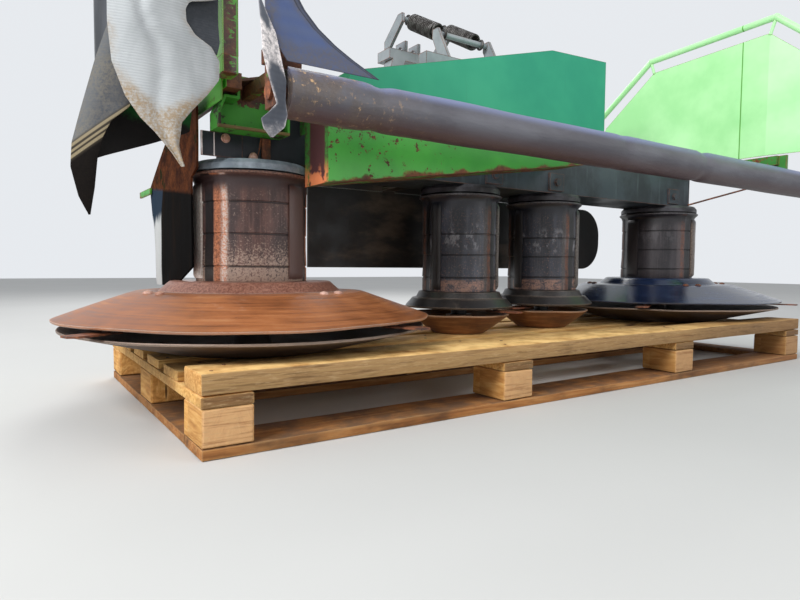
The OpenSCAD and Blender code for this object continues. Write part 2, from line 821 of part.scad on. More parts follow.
module top_hitch() {
    ear_y = stock_y + 30;
    low = head_top + seat_gap;
    color("gray") for (e = [-1, 1]) {
        difference() {
            translate([e > 0 ? ear_gap / 2 : -ear_gap / 2 - ear_t, stock_y - 10, low])
                cube([ear_t, 70, stock_top + 30 - low]);
            translate([-ear_gap, ear_y, stock_top]) rotate([0, 90, 0])
                cylinder(h = 2 * ear_gap, r = top_hole_r);
        }
        plate_yz(e * hanger_x - 6, e * hanger_x + 6, [
            [stock_y - 30, low], [stock_y + 10, low], [stock_y + 10, stock_top + 10],
            [spring_back + 14, spring_high + 16], [spring_back - 16, spring_high + 16],
            [spring_back - 16, spring_high - 16]
        ]);
    }
    color("gray") translate([-hanger_x, spring_back, spring_high]) rotate([0, 90, 0])
        cylinder(h = 2 * hanger_x, r = hanger_pin_r);
}

// A leg of the headstock, from x0 at z0 to x1 at z1
module bar_x(x0, z0, x1, z1) {
    w = stock_tube;
    plate_xz(stock_y - w / 2, stock_y + w / 2, [
        [x0 - w / 2, z0], [x0 + w / 2, z0], [x1 + w / 2, z1], [x1 - w / 2, z1]
    ]);
}

module carrier_arms() {
    back = stock_y - stock_tube / 2 - seat_gap;
    front = beam_half_y + seat_gap;
    mast_y = hood_d + 25;
    mast_top = spring_low - 105;
    color("gray") {
        for (e = [-1, 1]) {
            translate([e * arm_x - 30, front, beam_bottom + 60])
                cube([60, 12, arm_low + 60 - beam_bottom]);
            translate([e * arm_x - 22, front, arm_low - 22])
                cube([44, back - front, 44]);
            translate([e * arm_x - 22, mast_y - 22, arm_low])
                cube([44, 44, mast_top - arm_low]);
            plate_yz(e * hanger_x - 5, e * hanger_x + 5, [
                [mast_y - 20, mast_top - 30], [mast_y + 20, mast_top - 30],
                [spring_front + 16, spring_low - 16], [spring_front + 14, spring_low + 14],
                [spring_front - 16, spring_low + 14], [mast_y - 20, mast_top]
            ]);
        }
        translate([-arm_x, mast_y - 22, mast_top - 46])
            cube([2 * arm_x, 44, 46]);
        translate([-hanger_x - 5, spring_front, spring_low]) rotate([0, 90, 0])
            cylinder(h = 2 * hanger_x + 10, r = hanger_pin_r);
    }
}

// A coil round the z axis from z = 0 to z = h
module coil(r, wire, turns, h) {
    steps = 12;
    sides = 5;
    n = steps * turns;
    points = [
        for (i = [0:n]) let (a = i * 360 / steps, z = h * i / n)
            for (k = [0:sides - 1]) let (b = k * 360 / sides)
                [
                    (r + wire * cos(b)) * cos(a), (r + wire * cos(b)) * sin(a),
                    z + wire * sin(b)
                ]
    ];
    walls = [
        for (i = [0:n - 1], k = [0:sides - 1]) let (m = (k + 1) % sides)
            [i * sides + k, i * sides + m, (i + 1) * sides + m, (i + 1) * sides + k]
    ];
    start = [for (k = [sides - 1:-1:0]) k];
    end = [for (k = [0:sides - 1]) n * sides + k];
    polyhedron(points = points, faces = concat(walls, [start, end]));
}

module relief_springs() {
    rise = spring_high - spring_low;
    run = spring_back - spring_front;
    length = norm([run, rise]);
    tilt = atan2(run, rise);
    hook = 36;
    eye_r = hanger_pin_r + spring_wire + 0.5;
    plug_r = spring_r - 2 * spring_wire - seat_gap;
    color("silver") for (e = [-1, 1])
        translate([e * spring_x, spring_front, spring_low]) rotate([-tilt, 0, 0]) {
            translate([0, 0, hook])
                coil(spring_r - spring_wire, spring_wire, spring_turns, length - 2 * hook);
            for (end = [0, 1]) translate([0, 0, end * length])
                mirror([0, 0, end]) difference() {
                    union() {
                        rotate([0, 90, 0]) translate([0, 0, -spring_wire])
                            cylinder(h = 2 * spring_wire, r = eye_r + 3);
                        translate([0, 0, eye_r]) cylinder(h = hook + 6, r = plug_r);
                    }
                    rotate([0, 90, 0]) translate([0, 0, -eye_r])
                        cylinder(h = 2 * eye_r, r = hanger_pin_r + seat_gap);
                }
        }
}

pallet_back = -pallet_front + pallet_w;
pallet_rows = [
    -pallet_front + board_w / 2, (pallet_back - pallet_front) / 2, pallet_back - board_w / 2
];

module pallet_deck() {
    pitch = (pallet_w - board_w) / (deck_boards - 1);
    span = (pallet_len - block_len) / (block_count - 1);
    color("burlywood") {
        for (i = [0:deck_boards - 1])
            translate([-pallet_len / 2, -pallet_front + i * pitch, deck_top - deck_t])
                cube([pallet_len, board_w, deck_t]);
        for (i = [0:block_count - 1])
            translate([-pallet_len / 2 + i * span, -pallet_front,
                deck_top - 2 * deck_t - seat_gap]) cube([block_len, pallet_w, deck_t]);
    }
}

module pallet_blocks() {
    span = (pallet_len - block_len) / (block_count - 1);
    top = deck_top - 2 * deck_t - 2 * seat_gap;
    color("peru") for (i = [0:block_count - 1], y = pallet_rows)
        translate([-pallet_len / 2 + i * span, y - board_w / 2, top - block_h])
            cube([block_len, board_w, block_h]);
}

module pallet_feet() {
    low = deck_top - 3 * deck_t - 3 * seat_gap - block_h;
    color("burlywood") {
        for (y = pallet_rows)
            translate([-pallet_len / 2, y - board_w / 2, low])
                cube([pallet_len, board_w, deck_t]);
        for (x = [-pallet_len / 2, pallet_len / 2 - block_len], i = [0, 1])
            translate([x, pallet_rows[i] + board_w / 2 + seat_gap, low])
                cube([
                    block_len, pallet_rows[i + 1] - pallet_rows[i] - board_w - 2 * seat_gap,
                    deck_t
                ]);
    }
}

placed() drum(DRUMS[0]);  // drum_1
placed() drum(DRUMS[1]);  // drum_2
placed() drum(DRUMS[2]);  // drum_3
placed() drum(DRUMS[3]);  // drum_4
placed() disc(DRUMS[0]);  // disc_1
placed() disc(DRUMS[1]);  // disc_2
placed() disc(DRUMS[2]);  // disc_3
placed() disc(DRUMS[3]);  // disc_4
placed() knives(DRUMS[0]);  // knives_1
placed() knives(DRUMS[1]);  // knives_2
placed() knives(DRUMS[2]);  // knives_3
placed() knives(DRUMS[3]);  // knives_4
placed() saucer(DRUMS[0]);  // saucer_1
placed() saucer(DRUMS[1]);  // saucer_2
placed() saucer(DRUMS[2]);  // saucer_3
placed() saucer(DRUMS[3]);  // saucer_4
placed() gear_beam();
placed() bearing_rings();
placed() gearbox();
placed() drive_shaft();
placed() main_tube();
placed() side_frame(-1);  // side_frame_left
placed() side_frame(1);  // side_frame_right
placed() end_bracket_left();
placed() drive_hood();
placed() hood_brackets();
placed() front_apron();
placed() front_rail();
placed() curtain_roll();
placed() curtain_drape();
placed() side_cover_left();
placed() side_cover_right();
placed() corner_flap();
placed() side_curtain();
placed() crop_board();
placed() end_board_left();
placed() headstock();
placed() top_hitch();
placed() carrier_arms();
placed() relief_springs();
placed() pallet_deck();
placed() pallet_blocks();
placed() pallet_feet();
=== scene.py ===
"""A front-mounted drum mower on its pallet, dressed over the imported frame.

Lengths are metres. Shapes are worked out in the machine's own frame, where
x = 0 is the middle of the machine, y = 0 the line of the drums, the front is
towards -y, and z = 0 is the plane of the disc rims. SHIFT moves them into the
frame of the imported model.
"""
from collections import namedtuple

import bmesh
import bpy
import numpy as np
from mathutils import Matrix, Vector


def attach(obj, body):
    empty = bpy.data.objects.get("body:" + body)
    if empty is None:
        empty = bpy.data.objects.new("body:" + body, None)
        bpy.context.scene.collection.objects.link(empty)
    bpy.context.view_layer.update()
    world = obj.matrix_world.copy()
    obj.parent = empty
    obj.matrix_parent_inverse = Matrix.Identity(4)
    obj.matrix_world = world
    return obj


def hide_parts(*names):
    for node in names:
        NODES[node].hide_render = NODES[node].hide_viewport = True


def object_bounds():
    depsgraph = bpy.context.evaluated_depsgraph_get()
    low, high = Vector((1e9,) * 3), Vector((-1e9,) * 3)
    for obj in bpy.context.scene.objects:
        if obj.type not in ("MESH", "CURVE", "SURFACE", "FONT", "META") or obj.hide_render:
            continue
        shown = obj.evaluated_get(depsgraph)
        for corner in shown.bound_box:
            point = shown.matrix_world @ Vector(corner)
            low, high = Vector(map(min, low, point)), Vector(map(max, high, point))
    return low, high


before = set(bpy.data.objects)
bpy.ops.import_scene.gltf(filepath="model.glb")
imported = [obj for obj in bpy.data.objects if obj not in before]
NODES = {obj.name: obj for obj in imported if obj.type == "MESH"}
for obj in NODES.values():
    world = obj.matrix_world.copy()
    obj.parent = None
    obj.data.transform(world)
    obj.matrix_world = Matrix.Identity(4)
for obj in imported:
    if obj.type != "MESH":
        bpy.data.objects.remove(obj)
cad_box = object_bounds()
SHIFT = np.array([0.0, -0.420, -0.640])
TURN = 2 * np.pi

# The camera
CAMERA_AT = np.array([-1.444, -1.513, 0.125]) + SHIFT
CAMERA_YAW = 0.593
CAMERA_PITCH = -0.057
CAMERA_ROLL = 0.008
FOCAL_MM, SENSOR_MM = 27.0, 36.0


def place_camera():
    """Looks along (sin yaw, cos yaw, tan pitch), then rolls about that line."""
    cy, sy = np.cos(CAMERA_YAW), np.sin(CAMERA_YAW)
    cp, sp = np.cos(CAMERA_PITCH), np.sin(CAMERA_PITCH)
    ahead = np.array([sy * cp, cy * cp, sp])
    right = np.array([cy, -sy, 0.0])
    up = np.cross(right, ahead)
    cr, sr = np.cos(CAMERA_ROLL), np.sin(CAMERA_ROLL)
    axes = np.array([cr * right + sr * up, cr * up - sr * right, -ahead])
    data = bpy.data.cameras.new("camera")
    data.lens = FOCAL_MM
    data.sensor_width = SENSOR_MM
    camera = bpy.data.objects.new("camera", data)
    bpy.context.scene.collection.objects.link(camera)
    matrix = Matrix(axes.T.tolist()).to_4x4()
    matrix.translation = Vector(CAMERA_AT)
    camera.matrix_world = matrix
    bpy.context.scene.camera = camera


place_camera()

# Shape helpers


def ripple(points, seed, low, high, terms=7):
    """A smooth random field from -1 to 1: the mean of a few cosines along
    random directions, whose waves per metre lie between low and high."""
    draw = np.random.default_rng(seed)
    points = np.asarray(points, float)
    total = np.zeros(points.shape[:-1])
    for _ in range(terms):
        way = draw.normal(size=3)
        way *= draw.uniform(low, high) * TURN / np.linalg.norm(way)
        total += np.cos(points @ way + draw.uniform(0, TURN))
    return total / terms * 1.6


def flat_ripple(u, v, seed, low, high):
    """ripple() over two axes."""
    return ripple(np.stack([u, v, 0 * u], -1), seed, low, high)


def line(xs, seed, low, high):
    """ripple() along one axis."""
    return flat_ripple(xs, 0 * xs, seed, low, high)


def mm(*numbers):
    """Points of two numbers each, given in millimetres."""
    return np.array(numbers).reshape(-1, 2) / 1000


class Form:
    """Gathers grids of points into one mesh."""

    def __init__(self):
        self.points, self.faces, self.marks, self.count = [], [], [], 0

    def grid(self, points, wrap_u=False, wrap_v=False, cap_u=False, marks=None):
        """Joins points[u, v] to their neighbours with four-sided faces. cap_u
        closes the first and last rows with one face each. marks are three
        numbers a point that the finish reads. Returns the points' numbers."""
        nu, nv = points.shape[:2]
        ids = own = self.count + np.arange(nu * nv).reshape(nu, nv)
        if wrap_u:
            ids = np.vstack([ids, ids[:1]])
        if wrap_v:
            ids = np.hstack([ids, ids[:, :1]])
        quads = np.stack([ids[:-1, :-1], ids[1:, :-1], ids[1:, 1:], ids[:-1, 1:]], -1)
        self.faces += quads.reshape(-1, 4).tolist()
        if cap_u:
            self.faces += [own[0].tolist(), own[-1][::-1].tolist()]
        self.points.append(points.reshape(-1, 3))
        self.marks.append(np.zeros((nu * nv, 3)) if marks is None else marks.reshape(-1, 3))
        self.count += nu * nv
        return own

    def layers(self, front, back, marks=None):
        """Two layers of a sheet, joined round all four edges."""
        if marks is not None:
            marks = np.concatenate([marks, marks[:, ::-1]], 1)
        ids = self.grid(np.concatenate([front, back[:, ::-1]], 1), wrap_v=True, marks=marks)
        for row in (ids[0], ids[-1]):
            a, b = row[:front.shape[1] - 1], row[::-1][:front.shape[1] - 1]
            self.faces += np.stack([a, a + 1, b - 1, b], -1).tolist()

    def piece(self, name, body, finish, slot, smooth=30.0, stands_for=()):
        """Makes the mesh, gives it its finish and lets it ride on a body."""
        mesh = bpy.data.meshes.new(name)
        points = np.concatenate(self.points) + SHIFT
        mesh.from_pydata(points.tolist(), [], self.faces)
        marks = mesh.attributes.new("marks", "FLOAT_VECTOR", "POINT")
        marks.data.foreach_set("vector", np.concatenate(self.marks).ravel())
        work = bmesh.new()
        work.from_mesh(mesh)
        bmesh.ops.recalc_face_normals(work, faces=work.faces)
        work.to_mesh(mesh)
        work.free()
        mesh.shade_smooth()
        mesh.set_sharp_from_angle(angle=np.radians(smooth))
        mesh.materials.append(MATERIALS[finish])
        item = bpy.data.objects.new(name, mesh)
        bpy.context.scene.collection.objects.link(item)
        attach(item, body)
        if stands_for:
            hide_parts(*stands_for)
        return item


def lathe(profile, steps, x, uneven=None):
    """Turns (radius, height) rows about the upright line at x: each point lies
    at x + r cos a, r sin a. uneven(angle, r, h) returns what to add to r and h."""
    a, r = np.meshgrid(np.arange(steps) * TURN / steps, profile[:, 0], indexing="ij")
    h = np.broadcast_to(profile[:, 1], r.shape).copy()
    if uneven is not None:
        dr, dh = uneven(a, r, h)
        r, h = r + dr, h + dh
    return np.stack([x + r * np.cos(a), r * np.sin(a), h], -1)


def unit(way):
    return np.asarray(way, float) / np.linalg.norm(way)


def side_axes(way):
    """Two unit vectors square to way and to each other."""
    way = unit(way)
    guide = np.array([0.0, 0.0, 1.0]) if abs(way[2]) < 0.9 else np.array([1.0, 0.0, 0.0])
    one = unit(np.cross(guide, way))
    return one, np.cross(way, one)


def round_head(form, at, way, radius, height, sides, rings):
    """Adds circles about the line through at: each ring is a share of radius
    and a share of height."""
    one, two = side_axes(way)
    a = np.arange(sides) * TURN / sides
    across = np.cos(a)[:, None] * one + np.sin(a)[:, None] * two
    form.grid(np.array([at + q * radius * across + rise * height * unit(way)
                        for q, rise in rings]), wrap_v=True, cap_u=True)


def button(form, at, way, radius, height, sides=20):
    """A domed bolt head: rings whose radius is that of a quarter circle."""
    round_head(form, at, way, radius, height, sides, (
        (1.0, -0.3), (1.0, 0.0), (0.97, 0.35), (0.74, 0.7), (0.4, 0.92), (0.06, 1.0)))


def hex_head(form, at, way, radius, height):
    """A six-sided head with a chamfer, on a round washer."""
    round_head(form, at, way, radius, height, 24, (
        (1.35, -0.3), (1.35, 0.2), (1.28, 0.28), (0.5, 0.28)))
    round_head(form, at, way, radius, height, 6, (
        (1.0, 0.2), (1.0, 0.9), (0.88, 1.0), (0.05, 1.0)))


def tube(form, path, radius, sides):
    """A round bar along a path: circles of the given radius, square to it."""
    path = np.asarray(path, float)
    ways = np.gradient(path, axis=0)
    ways /= np.linalg.norm(ways, axis=1)[:, None]
    one = np.empty_like(path)
    one[0] = side_axes(ways[0])[0]
    for i in range(1, len(path)):
        one[i] = unit(one[i - 1] - ways[i] * (one[i - 1] @ ways[i]))
    two = np.cross(ways, one)
    a = np.arange(sides) * TURN / sides
    form.grid(path[:, None] + radius * (
        np.cos(a)[None, :, None] * one[:, None] + np.sin(a)[None, :, None] * two[:, None]
    ), wrap_v=True, cap_u=True)


def plank(form, low, high, along, seed, uneven=0.0009, round_off=0.002, stations=26):
    """A sawn board between two corners: its section is a rectangle with rounded
    corners, and each station along it swells and drifts a little."""
    low, high = np.asarray(low, float), np.asarray(high, float)
    across = [k for k in range(3) if k != along]
    half = (high - low)[across] / 2
    middle = (high + low)[across] / 2
    a = np.radians([8.0, 45.0, 82.0])
    bow = np.stack([np.cos(a), np.sin(a)], -1)
    section = np.concatenate([
        np.array(side) * (half - round_off) + np.array(side) * arc * round_off
        for side, arc in (((1, 1), bow), ((-1, 1), bow[::-1]), ((-1, -1), bow),
                          ((1, -1), bow[::-1]))])
    length = high[along] - low[along]
    t = np.concatenate([[0.0], np.linspace(round_off, length - round_off, stations), [length]])
    shrink = np.ones(len(t))
    shrink[[0, -1]] = 1 - round_off / half.min()
    grid = np.empty((len(t), len(section), 3))
    grid[..., along] = (low[along] + t)[:, None]
    for i, k in enumerate(across):
        grid[..., k] = middle[i] + section[None, :, i] * shrink[:, None]
    place = grid.copy()
    place[..., along] *= 0.35
    for i, k in enumerate(across):
        wave = ripple(place, seed * 3 + i, 3.0, 9.0) * uneven
        grid[..., k] += np.clip(wave, -uneven, uneven) - np.sign(section[None, :, i]) * uneven
    for end, keep, limit in ((0, np.maximum, low), (-1, np.minimum, high)):
        sawn = ripple(place[end], seed * 3 + 2, 6.0, 16.0) * 0.0015
        grid[end, :, along] = keep(grid[end, :, along] + sawn, limit[along])
    form.grid(grid, wrap_v=True, cap_u=True)


# Material helpers


def srgb(r, g, b):
    """A colour given as on the screen, from 0 to 255, as the shader's numbers."""
    c = np.array([r, g, b]) / 255.0
    c = np.where(c <= 0.04045, c / 12.92, ((c + 0.055) / 1.055) ** 2.4)
    return (*c.tolist(), 1.0)


class Value:
    """A socket to reckon with: each sign adds one maths node."""

    def __init__(self, graph, socket):
        self.graph, self.socket = graph, socket

    def __add__(self, other):
        return self.graph.math("ADD", self, other)

    def __mul__(self, other):
        return self.graph.math("MULTIPLY", self, other)

    def __sub__(self, other):
        return self.graph.math("SUBTRACT", self, other)

    def __rsub__(self, other):
        return self.graph.math("SUBTRACT", other, self)

    def __truediv__(self, other):
        return self.graph.math("DIVIDE", self, other)

    __radd__, __rmul__ = __add__, __mul__


def most(value, *others):
    """The largest of several values."""
    for other in others:
        value = value.graph.math("MAXIMUM", value, other)
    return value


class Graph:
    """Short words for building a node tree. place is the vector that patterns
    lie in. A colour of three numbers is given as on the screen."""

    def __init__(self, tree, place=None):
        self.tree, self.place = tree, place

    def node(self, kind, values=(), **settings):
        node = self.tree.nodes.new(kind)
        for key, value in settings.items():
            setattr(node, key, value)
        for key, value in dict(values).items():
            self.feed(node.inputs[key], value)
        return node

    def put(self, kind, values=(), out=0, **settings):
        return Value(self, self.node(kind, values, **settings).outputs[out])

    def feed(self, socket, value):
        if isinstance(value, Value):
            self.tree.links.new(value.socket, socket)
        elif socket.type == "RGBA" and len(value) == 3:
            socket.default_value = srgb(*value)
        else:
            socket.default_value = value

    def noise(self, scale, detail=3.0, rough=0.55, bend=0.0, at=None):
        """Noise of one scale, or of one scale for each axis."""
        at = at or self.place
        if isinstance(scale, tuple):
            at, scale = self.stretch(scale, at), 1.0
        return self.put("ShaderNodeTexNoise", {
            "Vector": at, "Scale": scale, "Detail": detail, "Roughness": rough,
            "Distortion": bend}, "Fac")

    def stretch(self, scale, at=None, shift=(0, 0, 0), turn=(0, 0, 0)):
        return self.put("ShaderNodeMapping", {
            "Vector": at or self.place, "Scale": scale, "Location": shift, "Rotation": turn})

    def ribs(self, scale, way, bend=0.5, detail=2.0):
        """Even bands along one way of the marks."""
        return self.put("ShaderNodeTexWave", {
            "Vector": self.marks(), "Scale": scale, "Distortion": bend, "Detail": detail},
            "Fac", bands_direction=way)

    def math(self, word, *values):
        return self.put("ShaderNodeMath", dict(enumerate(values)), operation=word)

    def vector(self, word, a, b, out=0):
        return self.put("ShaderNodeVectorMath", {0: a, 1: b}, out, operation=word)

    def band(self, value, low, high, to_low=0.0, to_high=1.0):
        return self.put("ShaderNodeMapRange", {
            "Value": value, "From Min": low, "From Max": high, "To Min": to_low,
            "To Max": to_high}, interpolation_type="SMOOTHSTEP")

    def near(self, value, at, half):
        """One where value lies within half of at, fading to nothing."""
        return self.band(self.math("ABSOLUTE", value - at), half, half * 0.45)

    def mix(self, share, a, b, way="MIX"):
        return self.put("ShaderNodeMix", {0: share, 6: a, 7: b}, 2, data_type="RGBA",
                        blend_type=way)

    def ramp(self, value, stops):
        node = self.node("ShaderNodeValToRGB", {"Fac": value})
        elements = node.color_ramp.elements
        while len(elements) < len(stops):
            elements.new(0.5)
        for element, (at, colour) in zip(elements, stops):
            element.position = at
            element.color = srgb(*colour)
        return Value(self, node.outputs["Color"])

    def parts(self, vector=None):
        node = self.node("ShaderNodeSeparateXYZ", {0: vector or self.place})
        return [Value(self, socket) for socket in node.outputs]

    def join(self, x, y, z):
        return self.put("ShaderNodeCombineXYZ", {0: x, 1: y, 2: z})

    def normal(self):
        return self.put("ShaderNodeNewGeometry", out="Normal")

    def marks(self):
        return self.put("ShaderNodeAttribute", out="Vector", attribute_name="marks")


KINDS = {"V": "NodeSocketVector", "F": "NodeSocketFloat", "C": "NodeSocketColor"}


def effect(inputs, outputs):
    """Makes a function into a shared group, and into a word of Graph that puts
    one. inputs and outputs are words such as V:Place, and Place comes first."""

    def share(build):
        tree = bpy.data.node_groups.new(build.__name__, "ShaderNodeTree")
        for words, way in ((inputs, "INPUT"), (outputs, "OUTPUT")):
            for word in words.split():
                kind, label = word.split(":")
                tree.interface.new_socket(label, in_out=way, socket_type=KINDS[kind])
        g = Graph(tree)
        source = g.node("NodeGroupInput")
        given = [Value(g, source.outputs[word.split(":")[1]]) for word in inputs.split()]
        g.place = given[0]
        sent = build(g, *given[1:])
        for socket, value in zip(g.node("NodeGroupOutput").inputs, sent):
            g.feed(socket, value)

        def put(graph, *values, at=None):
            node = graph.node("ShaderNodeGroup", node_tree=tree)
            for socket, value in zip(node.inputs, (at or graph.place, *values)):
                graph.feed(socket, value)
            made = [Value(graph, socket) for socket in node.outputs]
            return made if len(made) > 1 else made[0]

        setattr(Graph, build.__name__, put)
        return build

    return share


@effect("V:Place V:Centre", "V:Flat V:Wall")
def ring_places(g, centre):
    """Unit direction round an upright line, with the radius or the height."""
    x, y, z = g.parts(g.vector("SUBTRACT", g.place, centre))
    r = g.math("SQRT", x * x + y * y)
    return g.join(x / r, y / r, r), g.join(x / r, y / r, z)


@effect("V:Place F:Radius F:Amount F:Scale", "F:Mask")
def worn_edges(g, radius, amount, scale):
    """Where a rounded normal differs from the true one, broken up by noise."""
    rounded = g.put("ShaderNodeBevel", {"Radius": radius}, samples=4)
    edge = g.band(g.vector("DOT_PRODUCT", rounded, g.normal(), "Value"), 0.995, 0.88)
    lifted = edge + (amount - 1.0)
    return [edge * g.band(lifted + (g.noise(scale, 4.0, 0.65) - 0.5), 0.0, 0.22)]


@effect("V:Place F:Scale F:Cover F:Soft", "F:Mask")
def patches(g, scale, cover, soft):
    """Ragged patches: coarse noise plus finer noise, cut at a threshold."""
    both = g.noise(scale, 5.0, 0.62) * 0.72 + g.noise(scale * 6.3, 3.0, 0.6) * 0.28
    return [g.band((both - (0.72 - cover * 0.44)) / soft, 0.0, 1.0)]


@effect("V:Place F:Scale", "C:Color F:Height")
def rust(g, scale):
    """Rust from dark brown through orange to pale scale, by two noises."""
    both = g.noise(scale, 6.0, 0.66, 0.4) * 0.62 + g.noise(scale * 7.0, 4.0, 0.7) * 0.38
    return g.ramp(both, [
        (0.28, (38, 22, 18)), (0.43, (84, 46, 32)), (0.52, (124, 70, 42)),
        (0.62, (158, 92, 52)), (0.78, (190, 140, 104))]), both


@effect("V:Place V:Squeeze F:Cover", "F:Mask")
def streaks(g, squeeze, cover):
    """Long thin marks: noise on a place that is squeezed along one way."""
    value = g.noise(1.0, 5.0, 0.6, 0.15, at=g.vector("MULTIPLY", g.place, squeeze))
    return [g.band(value - (0.74 - cover * 0.48), 0.0, 0.16)]


@effect("V:Place F:Amount", "F:Mask")
def dust(g, amount):
    """How far a face looks up, times soft noise: settled dust in some finishes, and in others
    painted light on upward faces (hood, deck, timber, blocks) or painted shade (foot boards'
    tops).
    """
    level = g.band(g.parts(g.normal())[2], 0.1, 0.9) * amount
    return [level * g.band(g.noise(14.0, 5.0, 0.62), 0.3, 0.66)]


@effect("V:Place V:Squeeze F:Board", "C:Color F:Height")
def wood(g, squeeze, board):
    """Sawn wood: rings of stretched noise, fine fibres, knots and stains."""
    grown = g.vector("ADD", g.vector("MULTIPLY", g.place, squeeze), g.join(board, board, board))
    bands = g.math("PINGPONG", g.noise(1.0, 4.0, 0.55, 1.6, at=grown) * 9.0, 1.0)
    fibre = g.noise(1.0, 4.0, 0.6, at=g.vector("MULTIPLY", grown, (2.5, 5.0, 5.0)))
    tone = bands * 0.25 + fibre * 0.75
    colour = g.ramp(tone, [
        (0.16, (140, 96, 54)), (0.4, (198, 148, 88)), (0.58, (222, 178, 116)),
        (0.85, (242, 214, 162))])
    stain = g.noise(3.4, 5.0, 0.6, 0.5)
    colour = g.mix(g.band(stain, 0.5, 0.74, 0.0, 0.45), colour, (110, 74, 46))
    knot = g.put("ShaderNodeTexVoronoi", {
        "Vector": g.vector("MULTIPLY", grown, (1.0, 0.16, 0.16)), "Scale": 1.35}, "Distance")
    return g.mix(g.band(knot, 0.12, 0.05), colour, (74, 42, 26)), tone


class Paint(Graph):
    """A fresh material, painted coat by coat in Object coordinates."""

    def __init__(self, name):
        self.material = bpy.data.materials.new(name)
        self.material.use_nodes = True
        super().__init__(self.material.node_tree)
        self.tree.nodes.clear()
        self.shader = self.node("ShaderNodeBsdfPrincipled")
        out = self.node("ShaderNodeOutputMaterial")
        self.tree.links.new(self.shader.outputs[0], out.inputs[0])
        self.place = self.put("ShaderNodeTexCoord", out="Object")

    def ground(self, light, dark, low, high, *noise):
        """Lays the first colour, in clouds of two tones, and gives the clouds."""
        clouds = self.noise(*noise)
        self.colour = self.mix(self.band(clouds, low, high), light, dark)
        return clouds

    def coat(self, share, colour):
        """Covers a share of the colour so far with another one."""
        self.colour = self.mix(share, self.colour, colour)

    def dry(self, rough, height=None, strength=0.0, distance=0.0, metal=0.0, specular=0.5):
        """Feeds the shader, with a bump of that height, and gives the material."""
        for key, value in (("Base Color", self.colour), ("Roughness", rough),
                           ("Metallic", metal), ("Specular IOR Level", specular)):
            self.feed(self.shader.inputs[key], value)
        if height is not None:
            self.feed(self.shader.inputs["Normal"], self.put("ShaderNodeBump", {
                "Strength": strength, "Distance": distance, "Height": height}))
        return self.material


# The table of drums
DRUM_TOP, SHAFT_R = 0.346, 0.025
Spinner = namedtuple("Spinner", "x rib_turn strip_side drum rim foot hub flare crown_r crown"
                     " sole rib_half warp lift")
# Radii of drum and rim, height of the foot, radii of hub, flare and crown, the
# crown's height, the radius of the skid dish's flat sole, half a rib's width in
# degrees, how fast the rim's warp changes, and how far it lifts the rim
OUTER = (0.139, 0.459, 0.084, 0.200, 0.228, 0.289, 0.058, 0.215, 12.0, 0.5, 0.0026)
INNER = (0.119, 0.174, 0.046, 0.128, 0.140, 0.152, 0.024, 0.084, 8.0, 0.3, 0.0014)
# The first rib's turn in degrees, and which side of each rib a sunken strip lies on
SPINNERS = {
    1: Spinner(-0.890, -179.0, 1, *OUTER),
    2: Spinner(-0.193, -46.0, -1, *INNER),
    3: Spinner(0.193, -60.0, -1, *INNER),
    4: Spinner(0.890, -70.0, -1, *OUTER),
}
# The seams between a drum's bands, above its foot
SEAMS = {OUTER[0]: (0.189, 0.113, 0.035), INNER[0]: (0.176, 0.112, 0.042)}


def seam_heights(number):
    """Where the three seams between a drum's bands lie."""
    s = SPINNERS[number]
    return [s.foot + up for up in SEAMS[s.drum]]


def centre_of(number):
    return (SPINNERS[number].x + SHIFT[0], SHIFT[1], SHIFT[2])


# The finishes


def aged_paint(name, light, dark, wear, rust, dusty, gloss, scale):
    """Old machine paint: two tones in soft clouds, chipped and rusty edges,
    rust patches, fine scratches and settled dust."""
    g = Paint(name)
    g.ground(light, dark, 0.36, 0.66, scale * 0.55, 5.0, 0.6)
    g.coat(g.streaks((34.0, 34.0, 3.2), 0.3) * 0.3, (58, 54, 42))
    red = g.rust(scale * 4.0)
    bare = most(g.patches(scale * 1.5, rust, 0.035), g.worn_edges(0.006, wear, 38.0))
    g.coat(bare, red[0])
    dust = g.dust(dusty)
    g.coat(dust, (150, 138, 118))
    fine = g.noise(60.0, 3.0, 0.6)
    rough = g.band(fine, 0.3, 0.7, gloss - 0.06, gloss + 0.1) + most(bare, dust) * 0.4
    return g.dry(rough, fine * 0.12 - bare * (1.1 - red[1]), 0.35, 0.0012)


def apron_finish():
    """Clean green paint with small rust specks that crowd to the left end, a
    brown wavy lower lip, and a maroon end face with orange scabs at its foot."""
    g = Paint("apron_paint")
    x, y, z = g.parts()
    clouds = g.ground((66, 158, 56), (50, 134, 48), 0.35, 0.66, 4.0, 5.0, 0.6)
    left = g.band(x, -0.3, -0.8)
    wide = g.noise(7.0, 3.0, 0.5)
    crowd = left * 0.2 + g.band(wide, 0.35, 0.7, 0.05, 0.24)
    specks = g.patches(52.0, crowd, 0.02)
    slope = z - x * 0.1422
    wavy = slope + g.band(g.noise(16.0, 4.0, 0.6), 0.3, 0.7, -0.011, 0.011)
    lip = g.band(wavy, -0.198, -0.21)
    edges = g.worn_edges(0.005, 0.5, 45.0)
    red = g.rust(38.0)
    g.coat(specks, g.mix(0.6, red[0], (44, 26, 20)))
    g.coat(most(lip, edges), g.mix(0.4, red[0], (70, 46, 30)))
    end = g.band(x, -0.7955, -0.7975)
    foot = g.band(z, -0.26, -0.31)
    scabs = foot * g.band(g.noise(22.0, 3.0, 0.6), 0.42, 0.5)
    maroon = g.mix(clouds, (86, 42, 44), (52, 28, 32))
    border = most(g.band(y, -0.655, -0.664), g.band(y, -0.584, -0.572),
                  g.band(z, -0.13, -0.115))
    ragged = g.band(g.noise(60.0, 4.0, 0.7), 0.4, 0.55, 0.3, 1.0)
    maroon = g.mix(border * ragged, maroon, (58, 130, 48))
    g.coat(end, g.mix(scabs, maroon, (226, 132, 84)))
    bare = most(specks, lip, end)
    return g.dry(0.42 + bare * 0.38, g.noise(50.0) * 0.1 - bare, 0.4, 0.0012)


